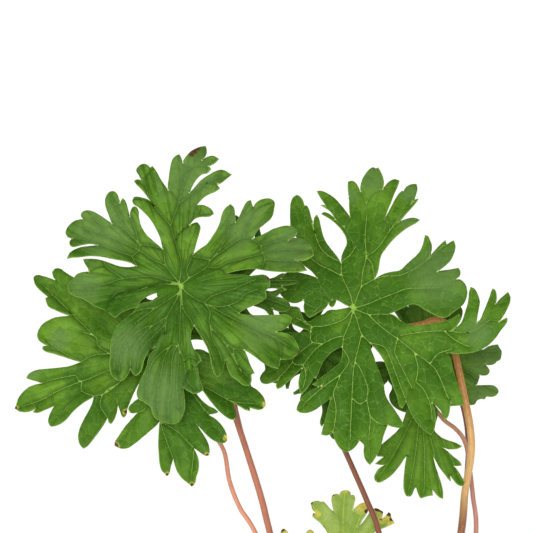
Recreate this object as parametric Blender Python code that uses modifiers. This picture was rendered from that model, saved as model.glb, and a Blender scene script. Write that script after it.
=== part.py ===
"""A hardy geranium: deeply cut leaves on long stalks, growing from a rootstock in a pot of soil."""
import math

import bmesh
import bpy
import numpy as np
from mathutils import Vector
from mathutils.geometry import delaunay_2d_cdt

# Photograph: what one of its pixels measures, and where its middle and the rootstock lie on it
PIXEL = 0.000357
MIDDLE_PX = (266.5, 266.5)
ROOT_PX = (372.0, 830.0)
VIEW_ELEVATION = math.radians(20.0)
VIEW_DISTANCE = 1.5
VIEW_DEPTH = 0.060

# Pot and soil
POT_HEIGHT = 0.108
POT_BASE_R = 0.048
POT_TAPER = 0.1327
POT_WALL = 0.002
POT_FLOOR = 0.0028
RIM_DROP = 0.012
RIM_OUT = 0.003
DRAIN_COUNT = 6
DRAIN_R = 0.004
DRAIN_RING = 0.036
POT_STEPS = 48
SOIL_TOP = 0.096
SOIL_DOME = 0.0025
SOIL_STEPS = 40
FIT = 0.0003

# Leaves and stalks
BLADE = 0.0007
GRID = 0.0046
GRID_MARGIN = 0.0015
GROOVE = 0.0012
GROOVE_WIDTH = 0.0050
RIPPLE = 0.0005
HUB_PIT = 0.0010
STALK_FOOT = 0.009
HOLE_SIDES = 12

# Leaf margins, clockwise, as points of the photograph (pixels from its top left corner).
FRONT_LEFT_MARGIN = (
    (162.5, 249), (160, 238), (156, 229), (150, 219), (144, 212.5), (138.5, 207.5), (133.5, 204),
    (132.3, 200.5), (135, 197), (138.5, 197), (144, 198.2), (149.5, 200.2), (144.5, 193), (139, 187),
    (135.5, 183.5), (134, 181), (137, 179.5), (141.3, 180.5), (138.5, 175), (136.3, 171), (138.5, 166.3),
    (144, 164), (149, 166.3), (150.2, 167.8), (152.3, 166), (155.5, 170), (161, 180), (168, 190),
    (167.8, 185), (168.5, 179), (170, 169), (171.5, 162), (175, 156.5), (179.5, 154.3), (181.3, 158),
    (182.6, 162.5), (184.8, 158), (188, 154), (191, 151.3), (195, 149), (200, 147), (205.5, 145.8),
    (206.7, 150), (206.3, 155), (201.8, 160.2), (207.5, 157), (213, 156), (219, 158.8), (215, 163),
    (209, 166.5), (211, 169), (207.5, 173), (202, 174.5), (197, 179), (193, 185), (189.3, 193),
    (194.8, 187), (200, 181), (205, 177.3), (210, 174.3), (215, 171.5), (222, 170), (232, 174.7),
    (227, 178.5), (223, 182), (217, 185), (220, 188.5), (215, 192), (210, 194), (204, 197.5),
    (196.8, 205.2), (202, 205), (208, 207), (212, 210), (214, 214), (209, 216.5), (201, 217), (195, 218.8),
    (189.8, 225), (193.5, 223), (197.5, 222.3), (200.5, 227), (199.8, 232), (197.3, 240), (195.2, 248),
    (193.3, 254), (200, 249), (207, 244), (212, 237), (217, 229), (220, 222), (222, 214), (225, 208.5),
    (230.5, 204), (234, 208), (235.2, 215), (236, 222.5), (239, 217), (243, 208), (247, 201.5), (251, 200),
    (253, 207.5), (257, 202), (263, 199), (271, 199), (274.5, 202), (274.5, 207), (272, 217), (265, 224),
    (259, 229), (252.6, 239), (261, 235.5), (270, 231), (280, 227), (290, 226), (295, 228.5), (298, 231.5),
    (296, 235.5), (288.5, 240.4), (293, 238.4), (300, 238.5), (306, 242), (311, 246), (314, 255),
    (310, 258), (304, 260.5), (295.3, 260.2), (302, 263.5), (307, 270.3), (295, 272.3), (285, 272),
    (275, 271.5), (266, 270.5), (256, 269), (246, 269.4), (235, 271.3), (226, 273.8), (233, 274.6),
    (241, 274.4), (250, 276), (258, 275), (265, 275.5), (269, 278), (269.5, 287), (265.8, 291),
    (266.5, 297), (259, 303), (250, 307), (243, 310.3), (239, 313.3), (243.5, 314.4), (252, 315),
    (266, 315), (278, 314.6), (288, 315), (292, 318.2), (288.5, 326), (283, 329.8), (276.5, 331.6),
    (283, 332.6), (289, 334.6), (294.5, 339), (298.7, 347.5), (300, 353), (295.5, 355.5), (291, 358.6),
    (280, 359.7), (279.8, 364), (278, 369), (269, 366), (263, 363), (257, 358.5), (250.5, 353.8),
    (244.5, 350), (247.8, 357.5), (250, 364), (254.8, 373), (251.3, 374.5), (251.2, 382), (248.6, 386),
    (243, 385), (238, 381), (231.5, 376.3), (227.3, 368), (225.7, 360.7), (223.2, 368), (221, 374.5),
    (217.7, 377), (214.5, 374.5), (212, 368), (210.5, 360), (208.8, 352), (205, 343.5), (200.5, 336),
    (196.6, 330), (194.2, 326), (191.3, 332), (191, 339), (192.3, 344.5), (194.5, 350), (199, 354.5),
    (201.8, 360.8), (198, 363.6), (198.4, 370), (199.2, 377.5), (201.2, 382.5), (203.7, 389.3),
    (200, 392.5), (194, 393.7), (188.5, 391.5), (183.5, 388.3), (184.6, 398), (185, 408.7), (183, 415),
    (179, 422), (173, 424), (168, 423.6), (161.7, 421.5), (156, 418.7), (152.3, 414), (151, 408),
    (143.5, 402), (138.4, 399), (136.6, 393.7), (138, 387), (140.5, 380), (144, 372.5), (146.7, 366),
    (148.4, 358.5), (152, 352), (155, 347.5), (149.5, 350.5), (146, 356.5), (143.5, 363), (142, 369),
    (139, 374), (136, 375.7), (133, 374), (130.5, 370), (125, 378.6), (121, 381), (117, 380),
    (111.7, 375.6), (109.5, 366), (110, 355), (110.5, 345), (112.6, 336), (118, 325.5), (125, 319),
    (133, 312.5), (140, 304), (150, 301.4), (157.4, 297), (156, 293), (148, 296.2), (140.5, 301.4),
    (137, 306.8), (130, 309), (121, 313), (115.5, 318), (111.5, 315.5), (106.5, 311), (100, 308.6),
    (93, 305.2), (87, 301.3), (80.6, 298), (74, 295.8), (69.3, 292), (68, 287), (69.6, 282.6), (73, 279),
    (76, 275), (80.5, 272.7), (88.8, 271.6), (87.6, 268), (84.7, 263.5), (83, 259.3), (88, 258.9),
    (96, 259.3), (103, 260.6), (109, 262.5), (115, 265), (122, 267), (129, 267.3), (136.6, 266.3),
    (130, 262.6), (120, 260.3), (111, 258.8), (103, 257.2), (95, 256.2), (88, 256.2), (80, 257.3),
    (73, 257.6), (67, 258.6), (69, 254), (73, 250.6), (80, 247.6), (88, 246.4), (97.6, 245.6), (92, 244),
    (84, 244.6), (77, 246.3), (72.5, 246.9), (69.7, 244.5), (69.8, 241), (72.2, 238.6), (67.5, 236.8),
    (65.6, 233), (67, 228.5), (71, 223.5), (77, 220), (83.2, 219.3), (80.8, 215.5), (82.6, 212),
    (87, 210.5), (94, 212), (103, 217.3), (111.8, 223.7), (108.5, 214.5), (105.3, 205), (105.5, 198),
    (108.5, 192.8), (112.3, 191), (116.4, 193), (119.2, 199), (120.3, 202.6), (122.8, 198.2),
    (125.3, 200.5), (128, 209), (129.7, 217), (130.5, 211), (133.3, 206.8), (136.2, 207), (138.5, 211),
    (139.2, 219), (142, 227.5), (147, 235.3), (155, 242.3),
)
BACK_LEFT_MARGIN = (
    (150, 300), (140, 292), (128, 283), (118, 281), (108, 287), (98, 290), (88, 286), (80, 281), (73, 277),
    (65, 272), (60.5, 268.8), (56, 268.6), (52.5, 271.5), (53, 276), (56, 280.6), (50, 278.3), (43, 276.2),
    (36.5, 275.2), (33.3, 277.6), (35, 284.5), (40, 290.3), (44.5, 294.2), (48, 297.2), (45.3, 298.4),
    (46.3, 302.5), (48.5, 306.8), (54, 309.6), (62, 313), (69, 315.2), (75.3, 314.8), (68, 316.2),
    (60, 316.8), (54, 318), (47.5, 321), (42, 325), (38.5, 330.5), (37.3, 336), (39, 340.6), (43, 343.6),
    (48, 345.8), (43, 346), (42, 348.6), (45, 351.3), (54, 353.8), (64, 357), (73, 360), (80.8, 362.3),
    (70, 366), (60, 367.6), (48, 368.7), (37, 370), (31, 372.3), (27.5, 375.3), (26, 378.3), (31, 380),
    (37, 381.6), (42.6, 383.4), (35, 384.7), (28, 387.6), (22, 393), (18, 399), (16.5, 404), (14.8, 408.6),
    (19, 411.2), (25, 412.2), (31, 411), (37, 407.8), (33, 412.3), (36.5, 413), (44, 410.5), (54.4, 406),
    (51.5, 411), (49, 417), (48.3, 422), (50.6, 426.8), (56, 425.9), (62, 423), (67, 418.8), (73, 411.8),
    (80, 405.5), (87, 400.6), (94, 396.8), (92, 404), (88, 412), (83.5, 420), (79.5, 429), (78, 437),
    (79.5, 444), (83.3, 449), (88, 445.8), (94, 438.4), (101, 429), (105.5, 422), (107.8, 417.6),
    (109, 423), (111, 424.3), (114, 420), (117, 412), (118, 405.4), (120, 411), (121.3, 415.2),
    (123.2, 418), (126.3, 415.2), (127.2, 409.5), (130.4, 401.5), (134, 393), (137.5, 386), (142, 378),
    (142.6, 386), (140, 397), (133, 402.6), (128.4, 408.2), (129.4, 412), (133, 413.4), (138, 412.4),
    (132, 418.6), (124, 428), (118, 437), (115, 441.5), (114.6, 445.6), (120, 448.4), (127, 448.4),
    (133, 445), (141, 438.6), (150, 431), (156.6, 425), (159.6, 420.8), (158.8, 430), (158.2, 442),
    (158.7, 454), (160, 466), (162, 471), (165, 474), (167, 476.2), (169.2, 473.6), (170.8, 467),
    (173.2, 458.6), (174.4, 464), (177, 471.4), (182, 478.4), (188, 483.3), (191.8, 486.6), (195, 483.4),
    (196.3, 477), (198.2, 471.4), (199, 464), (197.8, 457), (194, 448.2), (198, 451), (202, 454),
    (206, 455.8), (209.3, 455), (209.5, 449), (207.5, 442), (203.5, 435), (199.5, 429), (195.8, 424),
    (200.5, 428.6), (206, 434.4), (212, 439.6), (218, 442.5), (223.4, 443.2), (226.8, 441.2), (227, 435.6),
    (224.8, 429.8), (221, 424.2), (215.5, 418.8), (208.6, 414.6), (213.5, 414), (218.6, 412.3),
    (214.8, 408.8), (210, 406.4), (204.5, 402.6), (200, 398), (196.6, 393), (198, 386), (203, 391),
    (210, 400.6), (216, 408), (221, 413), (226, 417), (231, 419.6), (234.4, 419.8), (236, 417),
    (235.4, 411.6), (233.4, 405.6), (230.4, 401), (236, 404.2), (242, 407.7), (247, 410.6), (250, 410.8),
    (249.8, 407.4), (254, 408.8), (259, 409.8), (263, 408.6), (265.2, 404.6), (264, 398.6), (260.5, 393.4),
    (256, 389.2), (251, 385.6), (250.6, 378), (243, 368), (230, 361), (214, 356.5), (206, 351.5),
    (203, 350), (197, 349.3), (190, 350.5), (184, 352), (181, 347), (183, 342), (190, 340.3), (197, 339.6),
    (205, 340), (210, 338), (208, 331), (200, 325), (190, 322), (180, 322), (173, 325), (170, 318),
    (168, 308), (160, 298),
)
FRONT_RIGHT_MARGIN = (
    (341, 262.6), (341.6, 256), (344, 250), (346.6, 244), (346, 238), (343, 232), (338, 226), (332, 220.6),
    (326, 216.8), (321.3, 214.2), (323.5, 212.4), (328, 213.4), (332, 216), (335.2, 219.4), (331.3, 213),
    (327.5, 209.4), (323, 206.8), (320.6, 205), (325.2, 205), (322, 200.5), (319, 195.6), (316.8, 191.6),
    (320, 190.8), (325, 192.4), (330, 195), (335.5, 199.2), (341, 205.3), (346, 211.6), (350, 217.4),
    (349.2, 208), (348.9, 198), (347.8, 189), (347.8, 182), (352, 181), (355.3, 182.6), (358, 186.6),
    (360.2, 191.4), (360.6, 185), (362.3, 179), (365.5, 173.6), (369.5, 169.2), (373, 167.4),
    (375.5, 168.7), (378.2, 167.4), (380.6, 171.4), (383, 177), (384, 183), (383, 189), (386, 185),
    (390, 181.2), (394.5, 179.4), (399.6, 180.8), (397.6, 187), (394.3, 194), (391.5, 201.5), (388, 210),
    (384.7, 219), (390, 209), (395, 199.5), (399, 193.6), (402.2, 190.8), (403.4, 191.4), (406, 187.4),
    (410, 184.8), (416.6, 184), (417.5, 189), (416.2, 194.4), (414.6, 199.6), (418.6, 198.6), (416.6, 202),
    (411, 208.6), (405, 215.4), (400, 221.6), (405, 219.6), (410, 218.2), (415, 218.1), (420, 219.8),
    (417, 222.3), (411, 225.8), (404, 230.2), (397, 236), (391, 242), (386, 248.4), (382, 254), (380, 260),
    (379.2, 266), (377.6, 272.6), (374.8, 279), (378.4, 276.4), (384, 273.6), (391, 271.8), (400, 270),
    (406, 264.6), (413, 258.5), (418.8, 252.6), (421.6, 247.6), (423.4, 242), (425, 235), (427.8, 236.2),
    (430.4, 240.8), (432, 246.4), (430.6, 255), (434.5, 250.6), (438.5, 246.2), (442.5, 242.4),
    (445.4, 240), (446.7, 244.6), (450, 242.2), (453.6, 240.5), (455.5, 246), (454.2, 253), (451, 260),
    (446, 265.3), (438, 271.4), (444.5, 270.4), (451, 269.6), (458.3, 268), (460.4, 271.4), (460, 275.6),
    (455, 280), (459.5, 279.6), (463, 281.6), (466, 286), (467.2, 292), (466.4, 298), (464, 303.6),
    (460, 307.6), (456, 310.4), (452.6, 313), (447.5, 316.8), (442, 317.6), (436, 315.6), (430, 312.6),
    (424, 309.4), (419, 306), (414, 304.2), (409, 305), (403, 307.7), (397, 310.6), (390.6, 313.6),
    (396, 316.4), (400.6, 320.4), (406, 323.6), (412, 325), (419, 325.4), (426, 324.8), (433, 323.6),
    (440, 322.2), (447, 320.6), (454, 317.4), (458.8, 314.2), (460.8, 317), (459, 322), (456, 327.5),
    (460.6, 323.6), (463.4, 318), (465.4, 311), (467.2, 305.6), (468.4, 299), (469, 292.6), (470.5, 287),
    (473.6, 288.2), (476.6, 292), (478.6, 297), (479.8, 302), (479, 308), (477.8, 315), (476.7, 322.4),
    (480, 319.6), (483, 313), (486, 306), (489, 298), (491, 292), (493, 288.3), (495.4, 290.2),
    (496.8, 297), (496, 304), (499.4, 299.6), (503.4, 296), (508.2, 292), (510.5, 297), (510, 302.4),
    (508, 307.6), (505, 313.4), (499.4, 321.8), (503, 319.6), (507.3, 317.5), (507.3, 321.4),
    (504.4, 326.2), (501, 330.2), (497, 336.2), (492, 342), (487, 346.2), (481, 349.6), (475, 352),
    (466, 353.4), (457, 353.8), (447.6, 353), (451, 360), (453, 370), (456.4, 381), (460, 391), (463, 400),
    (463.8, 405), (457, 405.6), (450, 406.4), (449.6, 412), (447.8, 417), (445, 420), (443, 416.6),
    (440.6, 410.6), (436.6, 406.4), (432, 403), (434.4, 408), (435.4, 415), (435.6, 423), (434.2, 430),
    (431.4, 435), (426, 432), (419.5, 426), (414, 418.6), (409.6, 410.6), (406.2, 402), (402.6, 408.5),
    (399.4, 406.4), (397.4, 398), (394.4, 390), (391.4, 381), (388.2, 371.6), (384.4, 362), (380, 354.6),
    (375.6, 349), (370, 343.2), (371.2, 350), (373.8, 356.4), (376, 363.6), (379, 371), (381.8, 379),
    (384, 385.6), (384.8, 392), (387, 398.6), (391.4, 405), (396.3, 412), (400.4, 418.6), (403, 424),
    (400.4, 427.6), (394, 427.2), (388, 425.4), (385.6, 430.4), (383.5, 436), (382, 443), (379.6, 449.6),
    (376.4, 456.2), (373, 461.4), (370, 465), (367, 462), (364.5, 457), (363.8, 450), (364, 445.4),
    (359.7, 440.4), (356.6, 445.4), (352.6, 449.4), (349, 451.3), (345, 452), (341, 449.5), (337, 444.6),
    (334.2, 438), (333.2, 432.8), (330, 434.4), (326, 435.6), (321, 434.6), (322.4, 429), (325, 420),
    (327.2, 411), (329, 404), (330.4, 398.6), (324, 403.2), (318, 408), (312, 411.5), (306, 413),
    (300, 412.6), (296.5, 410), (297.4, 405.6), (301, 399), (306.5, 393.4), (312, 389.6), (321.4, 386),
    (316.5, 386), (312, 384.6), (316.4, 381.4), (322.4, 376.6), (328.4, 372.3), (334.2, 367.5),
    (339, 363.4), (341.4, 358.4), (342.2, 352.4), (342, 347), (337.4, 348.8), (332, 352), (327, 357),
    (323, 362), (320.4, 368), (318, 374), (316, 378.8), (313.8, 377.4), (311.4, 382), (308, 387),
    (304.4, 391.4), (301, 394), (299, 388), (298.5, 381), (300, 374.4), (302, 368.4), (296.6, 373.4),
    (290.6, 379.4), (284.6, 384.8), (280.4, 388), (277.2, 389), (276, 385.4), (277.4, 380.6), (272, 382.5),
    (266, 384), (261.4, 382.5), (260, 378.4), (261.8, 374), (265, 369.8), (264, 363), (262, 356),
    (266, 350), (268, 343), (275, 337), (283, 333.4), (291, 332.8), (301, 332.4), (311, 331.8),
    (303.6, 328.8), (297, 326), (291, 323.2), (285, 318.6), (279, 313.6), (279, 308.4), (285, 305.8),
    (292, 306.3), (299, 307.6), (301.6, 314), (304.6, 320.4), (309.4, 321.6), (314, 319.2), (319.4, 315.8),
    (324.4, 313.8), (327.4, 311), (331, 309.9), (336, 310), (342, 308.8), (347, 308), (350, 307),
    (345, 304.6), (340.4, 302), (336.5, 300), (335, 304.6), (332.6, 307.4), (330, 306.4), (328.4, 303.6),
    (326.6, 306.8), (323, 310), (318.4, 312.6), (313, 316), (309.4, 317.8), (306.2, 315), (304.3, 309),
    (304.8, 303.6), (303.4, 300.4), (297, 303), (290, 302.4), (283, 297.6), (278, 289), (279, 280),
    (284, 274), (292, 272), (301, 273), (309, 275), (317, 277.8), (311, 271), (304.5, 266), (297.5, 260),
    (295, 251), (299, 243.5), (295.5, 236), (291, 230), (290.3, 222), (290, 212), (290.5, 203.6),
    (292.6, 198), (297, 194.8), (300.6, 197), (303.3, 201), (304.6, 205.8), (307, 205.8), (309.3, 210),
    (311, 216), (313.3, 223.2), (314.4, 217.8), (317, 214.6), (319, 218.4), (320.8, 226), (323, 235),
    (325.8, 241.6), (329.4, 246.8), (333.6, 252), (337.6, 257),
)
RIGHT_MARGIN = (
    (432, 346), (420, 340), (408, 330), (400, 320), (392, 308), (396, 302), (404, 303), (408.4, 307),
    (409, 300), (414, 294), (424, 296), (434, 300), (437, 306), (444, 301), (455, 303), (462, 309),
    (461.6, 318), (457, 326), (452, 333), (460, 331), (470, 334), (478, 340), (474, 346), (483, 349.5),
    (488, 346.6), (493.4, 345), (497.6, 344.3), (499.3, 347.6), (501.5, 351), (501.3, 356), (500, 360),
    (497.2, 361.2), (494.5, 364), (490, 365.2), (485, 364.8), (488, 367.6), (489.6, 371), (487.6, 374.8),
    (483.6, 375.6), (480, 375.2), (478.8, 380), (476.4, 385.4), (483, 385.4), (490, 385), (494, 385.6),
    (497.4, 388.5), (498.5, 391.4), (496.6, 395), (492, 396.8), (486.4, 396.4), (484.6, 399.4),
    (480.8, 399), (477.4, 400.4), (474.6, 404.4), (466, 404.6), (456, 401), (449, 394), (446, 400),
    (440, 404), (434, 402), (430, 394), (427, 386), (424, 395), (418, 403), (410, 412), (401, 411),
    (391.5, 404), (389, 396), (392, 387), (388, 381), (384, 385), (377, 376), (371.5, 368), (374, 362),
    (382, 361.4), (391, 364), (402, 362), (412, 357), (421, 351.5), (431, 349),
)
LOW_RIGHT_MARGIN = (
    (415, 394), (411, 401), (407, 409), (404, 418), (401.5, 425), (397, 431), (391, 436.6), (385.6, 441),
    (380, 446), (375, 451), (377.6, 456.6), (384, 456.6), (379.4, 460), (375, 464), (381.4, 465),
    (384.6, 464.8), (379.5, 468), (376, 472.4), (374.2, 477), (375.5, 481.4), (378.6, 482.6), (384, 480.6),
    (390, 476.6), (395.6, 471), (400, 465.4), (403.4, 460), (406.6, 455.6), (405, 465), (404, 474),
    (403.5, 484), (404.4, 492), (407, 496.4), (410, 496.6), (412.8, 493.4), (414.4, 489), (416, 487.2),
    (417.3, 492), (420.4, 498.6), (425, 497), (429, 496), (432.8, 495.6), (432.3, 489.6), (435.4, 493.4),
    (439.4, 497.4), (443.2, 499), (443, 492), (441.4, 484), (438.5, 475), (435.4, 466.4), (432.6, 455.8),
    (436, 461.4), (440, 468), (444.4, 474), (448.4, 479.4), (451, 481.6), (449.6, 475), (453.4, 480),
    (457.4, 484.4), (461.2, 486), (464.6, 485), (463.6, 480.6), (460.6, 475), (457, 469.4), (453.2, 466),
    (457.6, 466), (462, 465.6), (460, 461.8), (454.6, 457.4), (448.4, 452), (442.2, 447.6), (449, 449.2),
    (456, 449), (460, 447.6), (462, 446), (456.6, 443.4), (450, 441), (443.6, 438.4), (438, 434.8),
    (434.4, 430.4), (436, 422), (438, 413), (434, 404), (427, 397), (421, 392),
)
LOW_MIDDLE_MARGIN = (
    (344, 564), (334, 567), (325, 573), (316, 572), (309, 566), (307, 557), (312, 552), (306, 548),
    (307, 540), (315, 537), (325, 540), (332, 546), (336, 549), (330, 540), (327, 532), (321, 524),
    (315.5, 519), (312.3, 516.6), (313, 513.8), (316, 513), (312.3, 509.5), (311.5, 506), (310.6, 503.4),
    (313.4, 501.4), (317.6, 500.8), (321.4, 501.8), (323, 501.5), (327, 505), (330.4, 509), (333.6, 512),
    (332.4, 506.4), (331.4, 500.4), (331.8, 496.6), (334, 494.3), (337, 493.8), (339, 494.8), (341, 491.4),
    (344, 490.3), (347.4, 490.2), (350.2, 491.8), (351, 495.3), (353.4, 494.8), (355.2, 497), (354.4, 503),
    (352.6, 510.4), (356, 507), (359.4, 504.3), (363.4, 502.6), (366.4, 503.4), (368, 508), (367.6, 511.6),
    (365.4, 515.4), (362, 520.4), (359, 527), (363, 522.4), (366.4, 517.6), (369.4, 513), (372.4, 509.6),
    (376.2, 508.4), (383, 512), (382.4, 516), (381, 519.6), (385.6, 516), (388.4, 512.3), (390.4, 513.4),
    (391.4, 518), (394.4, 523), (388, 526.2), (381.4, 529), (374, 532.6), (367, 538), (362, 544),
    (369, 541), (378, 541), (384, 546), (385, 553), (380, 557), (383, 563), (378, 570), (369, 572),
    (360, 569), (352, 565),
)

# Lobes of a small leaf: direction in degrees and length as a share of the leaf's reach
SMALL_LOBES = ((-52, 0.74), (0, 0.86), (46, 0.97), (90, 1.0), (134, 0.97), (180, 0.86), (232, 0.74))
DRY_LOBES = ((-20, 0.70), (28, 0.84), (75, 0.94), (112, 1.0), (158, 0.86), (205, 0.70))
HIDDEN_LOBES = (
    (-79, 1.0), (-104, 0.64), (-150, 0.62), (150, 0.55), (100, 0.60), (50, 0.62), (8, 0.62), (-38, 0.70),
)
BEHIND_LOBES = (
    (-62, 0.66), (-17, 0.84), (6, 0.92), (47, 1.0), (82, 0.92), (130, 0.50), (180, 0.42), (232, 0.52),
)


def small_margin(lobes, reach):
    """A cut leaf: for every direction a blunt lobe with a tooth on each side, and a deep cut between two."""
    ordered = sorted(lobes, key=lambda lobe: -lobe[0])
    margin = []
    count = len(ordered)
    for index, (angle, share) in enumerate(ordered):
        length = reach * share
        after = ordered[(index + 1) % count][0]
        if after >= angle:
            after -= 360
        turn = math.radians(angle)
        ahead = math.radians(max(angle - after, 1) / 2)
        side = min(1.0, math.tan(min(ahead, 0.5)) * 1.9)
        shape = (
            (0.52, 0.17), (0.66, 0.19), (0.79, 0.31), (0.83, 0.28), (0.76, 0.13), (0.88, 0.13),
            (0.97, 0.08), (1.0, 0.0), (0.97, -0.08), (0.88, -0.13), (0.76, -0.13), (0.83, -0.28),
            (0.79, -0.31), (0.66, -0.19), (0.52, -0.17),
        )
        for along, across in shape:
            x = length * along
            y = length * across * side
            turned = x * math.sin(turn) + y * math.cos(turn)
            margin.append((x * math.cos(turn) - y * math.sin(turn), turned))
        middle = turn - ahead
        cut = reach * (0.30 if angle - after < 75 else 0.10)
        margin.append((cut * math.cos(middle), cut * math.sin(middle)))
    return margin


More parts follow.
